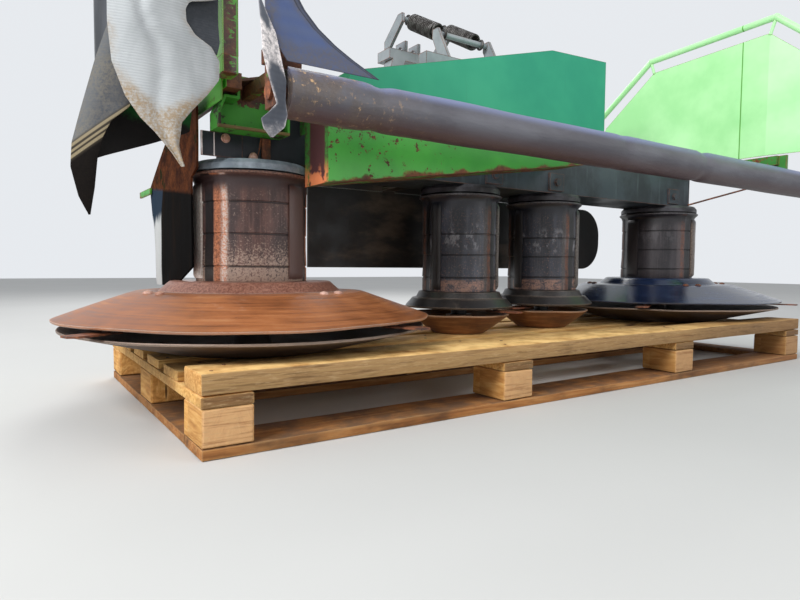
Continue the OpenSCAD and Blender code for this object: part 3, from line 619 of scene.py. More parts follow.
def hood_finish():
    """Sea-green paint, painted lighter on its upward faces as a painted highlight,
    with faint runs and worn only at its edges."""
    g = Paint("hood_paint")
    clouds = g.ground((46, 166, 126), (34, 148, 116), 0.3, 0.7, 3.0, 4.0, 0.55)
    g.coat(g.streaks((26.0, 26.0, 2.4), 0.22) * 0.16, (34, 96, 78))
    # painted highlight: the upward faces are a lighter green
    g.coat(g.dust(0.7), (96, 214, 160))
    g.coat(g.worn_edges(0.004, 0.25, 40.0), (80, 90, 54))
    g.coat(g.patches(30.0, 0.05, 0.02) * 0.5, (34, 84, 62))
    return g.dry(g.band(clouds, 0.3, 0.7, 0.46, 0.58), g.noise(9.0, 3.0, 0.5), 0.12, 0.002,
                 specular=0.3)


def cover_finish():
    """Pale green cover paint. The left post is painted a brighter green, a painted
    highlight. The left post's front face is rusted through to dark brown, with green left in
    level scraps."""
    g = Paint("cover_paint")
    x, y, z = g.parts()
    clouds = g.ground((196, 255, 188), (168, 238, 162), 0.34, 0.66, 3.0, 5.0, 0.6)
    g.coat(g.streaks((30.0, 30.0, 2.6), 0.24) * 0.2, (96, 150, 96))
    post = g.band(x, -0.99, -1.0) * g.band(y, -0.615, -0.62)
    # painted highlight: the left post is a brighter green than the rest of the cover
    g.coat(post, g.mix(clouds, (186, 255, 146), (156, 246, 116)))
    face = g.near(y, -0.671, 0.003) * g.band(x, -1.0415, -1.0385)
    scraps = g.noise((60.0, 60.0, 130.0), 4.0, 0.65, 0.4)
    upper = g.noise((40.0, 40.0, 12.0), 4.0, 0.6)
    inner = g.band(x, -1.036, -1.02)
    face = most(face, g.band(z, -0.1128, -0.1142) * post)
    keep = most(g.band(scraps, 0.52, 0.58) * inner, g.band(x, -1.014, -1.011),
                g.band(upper, 0.6, 0.66))
    red = g.rust(34.0)
    brown = g.mix(0.62, red[0], (48, 26, 18))
    green = g.mix(clouds, (104, 190, 62), (70, 140, 44))
    g.coat(face, g.mix(keep, brown, green))
    bare = most(g.patches(22.0, 0.07, 0.03), g.worn_edges(0.004, 0.4, 44.0))
    g.coat(bare, red[0])
    return g.dry(0.4 + bare * 0.35, clouds * 0.3 - bare, 0.3, 0.001)


def drum_finish(number, tones):
    """Worn drum paint. The marks hold ribs (one) and sunken strips (minus one),
    the strip beside them, and the ridge past that. Pale specks thicken to the
    foot, the seams between the bands are dark lines. The sunken strips are painted
    nearly black and the other two ribs darker, as painted shade; the first rib is
    pale, worn bare and partly a painted highlight; a dim band under the lip is the
    flange's painted shadow."""
    g = Paint(f"drum_paint_{number}")
    foot = SPINNERS[number].foot
    ring = g.ring_places(centre_of(number))
    z = g.parts(ring[1])[2]
    bar, strip, ridge = g.parts(g.marks())
    clouds = g.noise((2.6, 2.6, 5.0), 5.0, 0.6, 0.3, at=ring[1])
    brushed = g.noise((46.0, 46.0, 5.0), 4.0, 0.6, at=ring[1])
    speck = g.noise(210.0, 4.0, 0.78)
    g.colour = g.mix(g.band(clouds, 0.36, 0.64), tones["body"], tones["dim"])
    g.coat(g.band(brushed, 0.5, 0.72, 0.0, 0.3), tones["pale"])
    low = g.band(z, foot + 0.125, foot + 0.01)
    g.coat(g.band(speck + low * tones["sprinkle"], 0.56, 0.72, 0.0, 0.8), tones["low"])
    seams = seam_heights(number)
    last = g.band(z, seams[2] - 0.002, seams[2] - 0.012)
    coarse = g.noise((34.0, 34.0, 60.0), 5.0, 0.7)
    ragged = g.band(coarse * 0.8 + speck * 0.7, 0.62, 0.86)
    g.coat(last * ragged * tones["last"], tones["low"])
    scuffs = g.band(g.noise((40.0, 40.0, 22.0), 5.0, 0.72), 0.5, 0.6)
    around = g.near(z, seams[0] - 0.008, 0.05)
    g.coat(scuffs * around * tones["scuff"], tones["pale_scuff"])
    for at in seams:
        g.coat(g.near(z, at + 0.0008, 0.0026) * 0.85, tones["seam"])
    grain = g.band(speck, 0.36, 0.64)
    red = g.rust(60.0)
    g.coat(strip * 0.85, g.mix(grain, red[0], tones["strip"]))
    g.coat(ridge * g.band(clouds, 0.25, 0.6, 0.6, 1.0),
           g.mix(grain, tones["strip"], tones["ridge"]))
    # painted shade: the other two ribs (0.5) are darker; the first rib (1.0) is pale, worn and
    # partly a painted highlight
    g.coat(g.band(bar, 0.2, 0.4), tones["shaded_rib"])
    g.coat(g.band(bar, 0.7, 0.9), g.mix(grain, tones["rib_dim"], tones["rib"]))
    # painted shade: the sunken strips are nearly black
    g.coat(g.band(bar, -0.2, -0.8, 0.0, 0.95), (16, 15, 17))
    # painted shadow of the flange: a dim band under the lip
    flange_shadow = g.band(z, DRUM_TOP - 0.058, DRUM_TOP - 0.024)
    g.coat(flange_shadow * g.band(z, DRUM_TOP - 0.007, DRUM_TOP - 0.012), tones["dim"])
    lip = g.band(z, DRUM_TOP - 0.0075, DRUM_TOP - 0.0055)
    g.coat(lip, g.mix(grain, tones["lip"], tones["dim"]))
    rough = g.band(clouds, 0.3, 0.7, tones["gloss"], tones["gloss"] + 0.16)
    return g.dry(rough + most(ridge, strip) * 0.2, speck * 0.6 + red[1], 0.35, 0.0008)


def disc_finish(name, number, stops, rim, gloss, speckle, hub=None):
    """Steel polished by the crop: fine circles round the axis over a tone that
    changes with the radius, dark specks, a bright rim that is worn steel and partly a painted
    highlight, and the hub's own tone."""
    g = Paint(name)
    flare = SPINNERS[number].flare
    ring = g.ring_places(centre_of(number))
    circles = g.noise((1.6, 1.6, 95.0), 5.0, 0.62, 0.2, at=ring[0])
    clouds = g.noise(11.0, 5.0, 0.62)
    tone = circles * 0.6 + clouds * 0.4
    g.colour = g.ramp(tone, stops)
    g.coat(g.patches(30.0, speckle, 0.05) * 0.7, (52, 32, 26))
    pale = g.patches(6.0, speckle * 1.6, 0.2,
                     at=g.stretch((1.0, 1.0, 1.0), shift=(3.0, 1.0, 0.0)))
    g.coat(pale * 0.5, rim)
    if hub is not None:
        speck = g.noise(190.0, 4.0, 0.78)
        inside = g.band(g.parts(ring[0])[2], flare + 0.03, flare + 0.006)
        g.coat(inside, g.mix(g.band(speck, 0.38, 0.62), hub[0], hub[1]))
    # the bright worn edge is partly a painted highlight
    edges = g.worn_edges(0.004, 0.8, 50.0)
    g.coat(edges * 0.8, rim)
    fine = g.noise((3.0, 3.0, 420.0), 3.0, 0.6, at=ring[0])
    return g.dry(g.band(tone, 0.35, 0.65, gloss, gloss + 0.14), fine + clouds * 0.8, 0.22, 0.0008,
                 metal=edges * 0.5)


def rusty_finish(name, scale, cover, over, rough, dark):
    """Bare rusty steel with what is left of its paint in patches, and dark
    soaked places."""
    g = Paint(name)
    red = g.rust(scale)
    left = g.patches(scale * 0.4, cover, 0.06)
    g.colour = red[0]
    g.coat(g.patches(scale * 0.3, 0.62, 0.2) * 0.85, dark)
    g.coat(left, over)
    return g.dry(rough - left * 0.2, red[1] + left * 0.4, 0.5, 0.001)


def end_plate_finish():
    """The left end plate: rusty with olive paint above, dark as rubber below,
    and a pale dusty strip down its rear edge."""
    g = Paint("end_plate")
    _, y, z = g.parts()
    red = g.rust(22.0)
    olive = g.patches(13.0, 0.36, 0.08)
    upper = g.mix(olive, g.mix(0.72, red[0], (18, 11, 7)), (30, 30, 12))
    clouds = g.noise((8.0, 22.0, 5.0), 5.0, 0.65, 0.5)
    lower = g.mix(g.band(clouds, 0.45, 0.75), (7, 6, 6), (26, 19, 15))
    slanted = z - y * 0.12
    below = g.band(slanted, -0.284, -0.297)
    pale = g.mix(g.band(z + g.band(clouds, 0.3, 0.7, -0.02, 0.02), -0.38, -0.41), (38, 50, 64),
                 g.mix(clouds, (196, 198, 196), (160, 164, 166)))
    bend = y + g.band(z, -0.3, -0.4, 0.03, 0.0)
    lower = g.mix(g.band(bend, -0.16, -0.148), lower, pale)
    g.colour = g.mix(below, upper, lower)
    return g.dry(g.band(clouds, 0.3, 0.7, 0.85, 0.98), red[1] + clouds, 0.4, 0.0012,
                 specular=0.04)


def steel_finish(name, tone, dull, rough, scale=40.0, metal=0.75):
    """Plain steel, dulled in clouds, with fine scratches and bright edges."""
    g = Paint(name)
    clouds = g.noise(scale * 0.4, 5.0, 0.65)
    scratch = g.noise((300.0, 300.0, 24.0), 3.0, 0.6)
    g.colour = g.mix(g.band(clouds, 0.36, 0.64), tone, dull)
    g.coat(g.band(scratch, 0.56, 0.72, 0.0, 0.35), tone)
    return g.dry(g.band(clouds, 0.3, 0.7, rough, rough + 0.2), scratch + clouds, 0.2, 0.0006,
                 metal=metal)


def ring_finish():
    """The bearing rings: bare pale steel on the left one, dark with oil on the
    others."""
    g = Paint("ring_steel")
    clouds = g.band(g.noise(16.0, 5.0, 0.65), 0.36, 0.64)
    bare = g.mix(clouds, (176, 188, 198), (122, 134, 144))
    oily = g.mix(clouds, (66, 64, 70), (36, 34, 38))
    g.colour = g.mix(g.band(g.parts()[0], -0.5, -0.6), oily, bare)
    return g.dry(0.4 + clouds * 0.2, g.noise(60.0, 4.0, 0.6), 0.2, 0.0006)


def inner_plate_finish():
    """The left cover's inner plate: dark green above, black with dirt below, both darkened as
    painted shade inside the cover.
    """
    g = Paint("inner_plate")
    z = g.parts()[2]
    clouds = g.noise(14.0, 5.0, 0.65)
    level = z + g.band(clouds, 0.3, 0.7, -0.02, 0.02)
    dark = g.mix(clouds, (12, 11, 12), (34, 31, 30))
    green = g.mix(clouds, (34, 104, 44), (24, 66, 34))
    # painted shade: the cover's green inside is dark, and black below
    g.colour = g.mix(g.band(level, -0.238, -0.206), dark, green)
    return g.dry(0.8, clouds, 0.3, 0.001, specular=0.2)


def beam_finish():
    """Dull dark blue-grey, partly painted shade over dirty green paint, with pale upright
    streaks, dust and oil.
    """
    g = Paint("beam_paint")
    x = g.parts()[0]
    # painted shade: the dark blue-grey stands partly for shaded green paint
    clouds = g.ground((50, 62, 70), (30, 38, 44), 0.35, 0.66, 6.0, 5.0, 0.62)
    g.coat(g.streaks((44.0, 44.0, 3.0), 0.36) * 0.45, (96, 112, 114))
    g.coat(g.band(x, -0.72, -0.8) * 0.8, (24, 26, 34))
    edges = g.worn_edges(0.005, 0.4, 44.0)
    red = g.rust(30.0)
    g.coat(edges, g.mix(0.5, red[0], (58, 50, 46)))
    g.coat(g.patches(16.0, 0.12, 0.04) * 0.8, red[0])
    g.coat(g.dust(0.6), (104, 100, 92))
    return g.dry(g.band(clouds, 0.3, 0.7, 0.42, 0.66), g.noise(70.0, 4.0, 0.6), 0.25, 0.001)


def board_finish():
    """Black rubber sheet with a dusty brown drift and a pale worn edge."""
    g = Paint("board_rubber")
    clouds = g.ground((26, 24, 25), (42, 37, 35), 0.34, 0.68, 9.0, 5.0, 0.62)
    slant = g.stretch((3.0, 3.0, 7.0), turn=(0.0, 0.7, 0.0))
    drift = g.band(g.noise(1.0, 5.0, 0.6, at=slant), 0.48, 0.68)
    g.coat(drift * 0.62, (118, 100, 84))
    g.coat(g.worn_edges(0.004, 0.6, 60.0) * 0.6, (150, 146, 138))
    return g.dry(g.band(clouds, 0.3, 0.7, 0.5, 0.78), g.noise(46.0, 4.0, 0.6), 0.3, 0.0012)


def wood_finish(name, squeeze, board_step, tint, soil, soiled, top_lighting, front=None):
    """Sawn softwood, each board offset in the pattern, with painted lighting on its
    upward faces that is strongest to the left, pale worn edges, a darker tone
    towards the right, and dark stains that soil sets the share of. front says where
    a front face with its own two tones begins: along y, below which height, in which two tones."""
    g = Paint(name)
    x, y, z = g.parts()
    board = g.math("FLOOR", y * board_step)
    wood = g.wood(squeeze, board * 3.7)
    g.colour = g.mix(0.75, wood[0], tint, "MULTIPLY")
    g.coat(g.math("FRACT", board * 0.377) * 0.3, (120, 88, 58))
    g.coat(g.patches(4.5, soil, 0.25, at=g.stretch((0.5, 1.5, 1.5))) * 0.8, soiled)
    g.coat(g.band(x, -0.1, 1.0, 0.0, 0.45), (112, 84, 62))
    g.coat(g.worn_edges(0.004, 0.5, 50.0) * 0.35, (214, 180, 130))
    # painted lighting: upward faces take the top_lighting colour, most towards the left
    g.coat(g.dust(0.9) * g.band(x, 0.9, 0.0, 0.25, 1.0), top_lighting)
    if front is not None:
        at, top, light, dark = front
        face = g.band(y, at + 0.0035, at + 0.001) * g.band(z, top + 0.001, top)
        fibres = g.streaks((9.0, 160.0, 160.0), 0.52)
        hairs = g.noise((40.0, 300.0, 300.0), 4.0, 0.7)
        front_tone = g.mix(fibres * 0.75, light, dark)
        front_tone = g.mix(g.band(hairs, 0.5, 0.7, 0.0, 0.5), front_tone, (190, 164, 126))
        front_tone = g.mix(g.band(x, -0.2, 0.9, 0.0, 0.5), front_tone, (92, 66, 46))
        g.coat(face * 0.8, front_tone)
    return g.dry(0.8, wood[1], 0.6, 0.002, specular=0.3)


def curtain_finish():
    """Coated cloth rolled up: dark grey with a painted bluish highlight on top and
    painted shade in purple brown underneath, creases along the roll and golden mud at its left
    end."""
    g = Paint("curtain_cloth")
    x, _, z = g.parts()
    clouds = g.ground((92, 92, 100), (66, 64, 72), 0.36, 0.64, (3.0, 9.0, 9.0), 6.0, 0.62)
    # painted highlight: a bluish band along the roll's top
    g.coat(g.band(z, -0.172, -0.15) * g.band(clouds, 0.3, 0.6, 0.5, 0.95), (112, 122, 158))
    # painted shade: purple brown along the roll's underside
    g.coat(g.band(z, -0.196, -0.228) * 0.8, (74, 52, 54))
    grit = g.noise(190.0, 4.0, 0.75)
    g.coat(g.patches(6.0, 0.26, 0.3) * g.band(grit, 0.42, 0.62, 0.05, 0.45), (126, 116, 106))
    left = most(g.band(x, -0.79, -0.87), g.band(x, -0.55, -0.8, 0.0, 0.4))
    coat = left * g.band(g.noise(13.0, 5.0, 0.7), 0.36, 0.6)
    g.coat(coat * 0.8, g.mix(grit, (56, 47, 44), (112, 97, 86)))
    spots = g.band(g.noise(60.0, 5.0, 0.75), 0.56, 0.66)
    patch = coat * spots
    g.coat(patch, (196, 160, 118))
    g.coat(g.patches(80.0, 0.1, 0.03) * 0.7, (176, 170, 160))
    creases = g.noise((10.0, 60.0, 60.0), 5.0, 0.6, 0.6)
    height = creases + g.ribs(160.0, "X", 0.4) * 0.06
    return g.dry(0.44 + patch * 0.3, height, 0.55, 0.003)


def flap_finish(name, light, dark, dirt, back, ribs=19.0, gloss=0.55, hem=None, low=None):
    """Coated cloth. Its marks are metres across and down, and nearness to the
    edge, or two on the side that is turned under. Fine level ribs and a soft
    sheen, dirt that gathers at the edges, and a double hem where it has one."""
    g = Paint(name)
    u, _, edge = g.parts(g.marks())
    clouds = g.ground(light, dark, 0.36, 0.66, (5.0, 5.0, 3.0), 5.0, 0.6, 0.4)
    rib = g.ribs(ribs, "Y", detail=1.0)
    g.coat(rib * 0.13, (96, 102, 108))
    ragged = g.noise(20.0, 5.0, 0.7)
    grain = g.noise(150.0, 4.0, 0.75)
    reach = edge
    if low is not None:
        z = g.parts()[2]
        reach = edge * 0.55 + g.band(z, low[0], low[1])
        if len(low) == 4:
            reach = reach - g.band(z, low[2], low[3])
    soiled = g.band(reach + ragged * 0.9, 0.8, 1.3)
    soiled = soiled * g.band(grain, 0.34, 0.62, 0.3, 1.0)
    g.coat(soiled, dirt)
    g.coat(g.patches(34.0, 0.07, 0.03) * 0.6, (60, 58, 58))
    if hem is not None:
        lines = most(g.near(u, 0.003, 0.004), g.near(u, 0.0125, 0.0022))
        band = most(g.band(u, 0.016, 0.013) * 0.45, lines)
        g.coat(band, hem)
    g.coat(g.band(edge, 1.3, 1.7), back)
    height = rib * 0.5 + grain * 0.35
    return g.dry(gloss + soiled * 0.3, height + clouds, 0.35, 0.0014)


def side_cloth_finish():
    """The side cloth: grey, with a painted sheen that makes it paler to its outer edge.
    Its torn end has a beige hem in three lines and is painted dark brown to black inside, past
    the hem, as painted shade."""
    g = Paint("side_cloth_finish")
    x, _, z = g.parts()
    u = g.parts(g.marks())[0]
    clouds = g.ground((62, 65, 71), (38, 41, 46), 0.36, 0.66, (4.0, 4.0, 2.4), 5.0, 0.6, 0.4)
    # painted sheen: paler towards the outer edge
    g.coat(g.band(u, 0.035, 0.0, 0.0, 0.5), (116, 119, 122))
    grain = g.noise(150.0, 4.0, 0.75)
    film = g.band(g.noise(9.0, 5.0, 0.7) + g.band(z, 0.0, -0.2, 0.0, 0.25), 0.5, 0.8, 0.0, 0.5)
    g.coat(film * g.band(grain, 0.34, 0.6), (116, 108, 92))
    hem = z + (x + 1.229) * -0.83
    lines = most(g.near(hem, -0.222, 0.0045), g.near(hem, -0.233, 0.0035),
                 g.near(hem, -0.243, 0.0045))
    g.coat(g.band(hem, -0.212, -0.22), (48, 43, 36))
    g.coat(lines * 0.9, (132, 120, 96))
    # painted shade: the inside past the hem is nearly black
    g.coat(g.band(hem, -0.246, -0.254), g.mix(grain, (6, 5, 5), (24, 19, 16)))
    return g.dry(g.band(hem, -0.21, -0.25, 0.55, 0.98), g.ribs(62.0, "Y") * 0.15 + clouds, 0.3,
                 0.0016, specular=0.12)


def bracket_finish():
    """The roll's end bracket: green at its foot and left wall with dark scabs,
    dark rust above, and an olive brown lower flange."""
    g = Paint("bracket_paint")
    x, y, z = g.parts()
    red = g.rust(34.0)
    ragged = g.noise(20.0, 5.0, 0.7)
    brown = g.mix(0.6, red[0], (40, 28, 18))
    green = g.mix(g.noise(9.0), (74, 168, 50), (48, 118, 38))
    level = z + g.band(ragged, 0.3, 0.7, -0.035, 0.035)
    keep = most(g.band(level, -0.132, -0.142), g.band(x, -1.014, -1.02))
    scabs = g.patches(20.0, 0.44, 0.05)
    g.colour = g.mix(keep, brown, g.mix(scabs, green, (44, 34, 22)))
    flange = g.band(z, -0.2008, -0.203)
    g.coat(flange * g.band(y, -0.57, -0.58), g.mix(ragged, (122, 104, 52), (78, 62, 36)))
    return g.dry(0.68, red[1] + scabs * 0.5, 0.5, 0.0012)


def side_frame_finish():
    """The left side frame: bright green down its outer face, rusted brown with
    green scraps elsewhere."""
    g = Paint("side_frame_paint")
    x, y, _ = g.parts()
    red = g.rust(30.0)
    scraps = g.patches(12.0, 0.4, 0.06)
    brown = g.mix(0.45, red[0], (44, 30, 20))
    green = g.mix(g.noise(9.0), (104, 200, 66), (74, 158, 50))
    g.colour = g.mix(scraps, brown, (70, 140, 46))
    outer = g.band(x, -1.015, -1.0172) * g.band(y, -0.625, -0.615)
    wear = g.band(g.noise(36.0, 5.0, 0.7), 0.34, 0.42)
    g.coat(outer * wear, green)
    return g.dry(0.64, red[1] + scraps * 0.4, 0.5, 0.001)


# Where the pallet's front faces lie, along y
WOOD_FRONT = -0.870

MATERIALS = {
    "cover": cover_finish(),
    "frame_green": aged_paint("frame_paint", (64, 150, 52), (48, 118, 42), 0.8, 0.42, 0.25,
                              0.46, 9.0),
    "side_green": side_frame_finish(),
    "bracket": bracket_finish(),
    "grey": aged_paint("grey_paint", (150, 156, 160), (118, 124, 130), 0.5, 0.14, 0.3, 0.42, 8.0),
    "gearbox": aged_paint("gearbox_paint", (46, 96, 62), (30, 60, 42), 0.5, 0.2, 0.4, 0.4, 9.0),
    "end_plate": end_plate_finish(),
    "apron": apron_finish(),
    "hood": hood_finish(),
    "beam": beam_finish(),
    "board": board_finish(),
    "ring": ring_finish(),
    "inner_plate": inner_plate_finish(),
    "knife": rusty_finish("knife_rust", 60.0, 0.3, (52, 46, 44), 0.6, (40, 30, 26)),
    "shaft": steel_finish("shaft_steel", (176, 176, 172), (120, 116, 110), 0.28),
    "spring": steel_finish("spring_steel", (92, 90, 88), (48, 44, 42), 0.4, 80.0),
    "bolt": steel_finish("bolt_steel", (214, 176, 160), (158, 112, 92), 0.5, 90.0, 0.2),
    "strap": rusty_finish("strap_rust", 40.0, 0.1, (96, 84, 64), 0.7, (70, 50, 32)),
    "edge_strip": steel_finish("bright_edge", (214, 206, 206), (164, 146, 142), 0.5, 60.0, 0.1),
    # The third colour of each wood is painted lighting on its upward faces: painted sunlight on
    # the deck, timber and blocks.
    "deck_wood": wood_finish("deck_wood", (1.6, 26.0, 26.0), 5.95, (255, 250, 220), 0.14,
                             (128, 96, 64), (244, 200, 132),
                             (WOOD_FRONT, -0.7505, (96, 68, 46), (44, 32, 24))),
    "lead_wood": wood_finish("lead_board_wood", (1.3, 34.0, 34.0), 0.1, (250, 232, 196), 0.3,
                             (116, 88, 60), (255, 214, 142),
                             (WOOD_FRONT, 0.0, (150, 122, 84), (70, 52, 36))),
    # The blocks' front tones are painted brighter than the wood, a painted highlight.
    "block_wood": wood_finish("block_wood", (24.0, 3.0, 18.0), 9.0, (255, 236, 196), 0.16,
                              (140, 92, 54), (226, 188, 132),
                              (WOOD_FRONT, 0.0, (206, 162, 116), (150, 104, 70))),
    # The foot boards' top lighting colour is darker than the wood: painted shade under the deck.
    "foot_wood": wood_finish("foot_wood", (1.4, 24.0, 24.0), 2.2, (190, 150, 116), 0.62,
                             (50, 36, 28), (96, 74, 58)),
    "curtain": curtain_finish(),
    # The drape's blue-grey is painted shade tinted by the sky; the cloth is that of the roll.
    "drape": flap_finish("drape_cloth", (62, 80, 124), (48, 62, 94), (88, 88, 98),
                         (66, 70, 80), 12.0, 0.5, hem=(48, 52, 66)),
    "strip": flap_finish("strip_cloth", (96, 100, 110), (66, 70, 80), (240, 232, 230),
                         (60, 60, 66), 30.0, 0.8, low=(-0.18, -0.12, -0.11, -0.07)),
    "flap": flap_finish("flap_cloth", (190, 194, 196), (146, 150, 152), (158, 138, 112),
                        (58, 62, 68), 62.0, low=(-0.15, -0.27)),
    "side_cloth": side_cloth_finish(),
}

OUTER_TONES = dict(
    body=(102, 70, 62), dim=(58, 42, 42), pale=(136, 106, 96), low=(172, 148, 132),
    sprinkle=0.2, last=0.12, seam=(34, 22, 22), strip=(196, 120, 78), ridge=(214, 204, 196),
    rib=(246, 240, 232), rib_dim=(222, 208, 198), lip=(150, 112, 96), gloss=0.4,
    shaded_rib=(84, 60, 54), scuff=0.0, pale_scuff=(120, 110, 108))
INNER_TONES = dict(
    body=(58, 62, 74), dim=(34, 36, 44), pale=(96, 94, 98), low=(158, 122, 106),
    sprinkle=0.02, last=0.9, seam=(18, 18, 22), strip=(60, 54, 54), ridge=(86, 82, 82),
    rib=(120, 112, 106), rib_dim=(52, 46, 44), lip=(96, 92, 94), gloss=0.34,
    shaded_rib=(40, 37, 38), scuff=0.75, pale_scuff=(132, 132, 138))
RIGHT_TONES = dict(
    body=(56, 50, 54), dim=(30, 27, 31), pale=(92, 88, 92), low=(96, 78, 72),
    sprinkle=-0.02, last=0.1, seam=(16, 14, 16), strip=(84, 74, 74), ridge=(70, 62, 64),
    rib=(124, 108, 96), rib_dim=(64, 52, 46), lip=(96, 92, 96), gloss=0.3,
    shaded_rib=(40, 34, 35), scuff=0.2, pale_scuff=(110, 106, 110))
INNER_DISC = ([(0.3, (16, 15, 17)), (0.5, (28, 25, 26)), (0.7, (64, 54, 48))],
              (150, 134, 120), 0.32, 0.2, ((20, 18, 20), (56, 48, 44)))
# The outer saucers' dark tones are partly painted shade under the discs; their light rim is worn
# steel and partly a painted highlight.
OUTER_SAUCER = ([(0.3, (44, 35, 31)), (0.5, (68, 54, 47)), (0.7, (104, 86, 74))],
                (200, 176, 156), 0.5, 0.1)
INNER_SAUCER = ([(0.3, (84, 54, 34)), (0.5, (128, 84, 52)), (0.7, (168, 122, 82))],
                (206, 178, 150), 0.5, 0.14)
# What each spinner's drum, disc and saucer look like
SPINNER_LOOKS = (
    (OUTER_TONES, ([(0.3, (88, 50, 30)), (0.44, (132, 78, 44)), (0.56, (160, 98, 56)),
                    (0.75, (186, 134, 92))], (206, 190, 176), 0.34, 0.16,
                   ((104, 60, 48), (152, 108, 90))), OUTER_SAUCER),
    (INNER_TONES, INNER_DISC, INNER_SAUCER),
    (INNER_TONES, INNER_DISC, INNER_SAUCER),
    # The right disc's blue tone is partly a painted reflection of the sky.
    (RIGHT_TONES, ([(0.3, (14, 20, 38)), (0.5, (24, 36, 62)), (0.75, (48, 64, 98))],
                   (128, 134, 142), 0.14, 0.03), OUTER_SAUCER),
)
for number, (tones, disc, saucer) in enumerate(SPINNER_LOOKS, 1):
    MATERIALS[f"drum_{number}"] = drum_finish(number, tones)
    MATERIALS[f"disc_{number}"] = disc_finish(f"disc_steel_{number}", number, *disc)
    MATERIALS[f"saucer_{number}"] = disc_finish(f"saucer_steel_{number}", number, *saucer)

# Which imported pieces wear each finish
CAD_FINISH = {
    "knife": "knives_1 knives_2 knives_3 knives_4 front_rail",
    "beam": "gear_beam",
    "ring": "bearing_rings",
    "gearbox": "gearbox hood_brackets",
    "shaft": "drive_shaft",
    "frame_green": "main_tube side_frame_right",
    "side_green": "side_frame_left",
    "bracket": "end_bracket_left",
    "hood": "drive_hood",
    "apron": "front_apron",
    "cover": "side_cover_left side_cover_right",
    "board": "crop_board",
    "end_plate": "end_board_left",
    "grey": "top_hitch headstock carrier_arms",
}
for word, nodes in CAD_FINISH.items():
    for node in nodes.split():
        mesh = NODES[node].data
        mesh.materials.clear()
        mesh.materials.append(MATERIALS[word])

# Drums and discs


def drum_profile(r, foot, seams):
    """Down the outside: lip, hollow fillet, three bands parted by grooves, and
    back up the inside to the shaft."""
    top, low, inside = DRUM_TOP, foot + 0.0004, r - 0.006
    rows = [(SHAFT_R, 0.40), (SHAFT_R + 0.0002, top), (r + 0.0125, top),
            (r + 0.0135, top - 0.0015), (r + 0.013, top - 0.005)]
    rows += [(r + 0.013 * (1 - s) ** 2.2, top - 0.005 - 0.02 * s)
             for s in (0.15, 0.3, 0.5, 0.75, 1.0)]
    for z, out in zip(seams, (0.0, -0.0007, 0.0003)):
        rows += [(r + out, z + 0.0045), (r - 0.0024, z + 0.003), (r - 0.0026, z),
                 (r + out - 0.0006, z - 0.0012), (r + out - 0.0006, z - 0.03)]
    rows += [(r - 0.0005, low + 0.004), (r - 0.001, low), (inside, low),
             (inside, top - 0.012), (SHAFT_R + 0.001, top - 0.012), (SHAFT_R, top - 0.006)]
    return np.array(rows)


def bell(gap, at, half, power):
    """One at a place, falling to nothing past half: steeper as power grows."""
    return np.exp(-(((gap - at) / half) ** power))


# How far past a rib its sunken strip lies, in radians
STRIP_AT = 0.384


def make_drum(number):
    """A lathe form with dents, a ridge and a sunken strip beside each rib, and
    the ribs as bars bent to the drum. Its marks give the finish the ribs and
    sunken strips, the strip beside them and the ridge."""
    s = SPINNERS[number]
    r = s.drum
    ribs = [np.radians(s.rib_turn) + k * TURN / 3 for k in range(3)]

    def off(a, at):
        return s.strip_side * ((a - at + np.pi) % TURN - np.pi)

    def uneven(a, rr, h):
        wall = (rr > r - 0.004) & (rr < r + 0.004)
        place = np.stack([np.cos(a) * 0.25, np.sin(a) * 0.25, h], -1)
        dr = ripple(place, 20 + number, 2.0, 7.0) * 0.0011
        for at in ribs:
            dr = dr - 0.0035 * bell(off(a, at), STRIP_AT, 0.12, 4)
            dr = dr + 0.0022 * bell(off(a, at), 0.733, 0.1, 2)
        return np.where(wall, dr, 0.0), 0 * h

    profile = drum_profile(r, s.foot, seam_heights(number))
    steps = 240
    a = np.arange(steps) * TURN / steps
    wavy = a[:, None] + 0.02 * line(profile[:, 1] * 3, 44 + number, 2.0, 9.0)[None]
    marks = np.zeros((steps, len(profile), 3))
    for at in ribs:
        gap = off(wavy, at)
        marks[..., 0] -= bell(gap, STRIP_AT, 0.115, 8)
        marks[..., 1] += bell(gap, 0.59, 0.09, 6)
        marks[..., 2] += bell(gap, 0.735, 0.06, 4)
    form = Form()
    form.grid(lathe(profile, steps, s.x, uneven), wrap_u=True, wrap_v=True, marks=marks)
    z = np.linspace(s.foot + 0.0065, DRUM_TOP - 0.024, 30)
    half = np.radians(s.rib_half)
    rise = 0.0072 + 0.0007 * line(z, 40 + number, 4.0, 14.0)
    rise[[0, -1]] -= 0.004
    rim = np.array([0.003, 0.0004, 0, 0, 0, 0.0004, 0.003])
    radii = np.pad(r + rise[:, None] - rim[None], ((0, 0), (1, 1)), constant_values=r - 0.004)
    for k, at in enumerate(ribs):
        a = at + np.linspace(-half, half, 7)
        angles = np.concatenate([[a[0]], a, [a[-1]]])[None]
        rows = np.stack([s.x + radii * np.cos(angles), radii * np.sin(angles),
                         np.broadcast_to(z[:, None], radii.shape)], -1)
        bar = np.zeros(rows.shape)
        # the first rib is marked 1.0, pale and partly a painted highlight; the others 0.5, darker
        # as painted shade
        bar[..., 0] = 1.0 if k == 0 else 0.5
        form.grid(rows, wrap_v=True, cap_u=True, marks=bar)
    form.piece(f"drum_shell_{number}", f"rotor_{number}", f"drum_{number}", "drum_paint", 40,
               [f"drum_{number}"])


def between(start, end, t):
    """Rows on the straight line from one (radius, height) to another."""
    return [(start[0] + (end[0] - start[0]) * s, start[1] + (end[1] - start[1]) * s) for s in t]


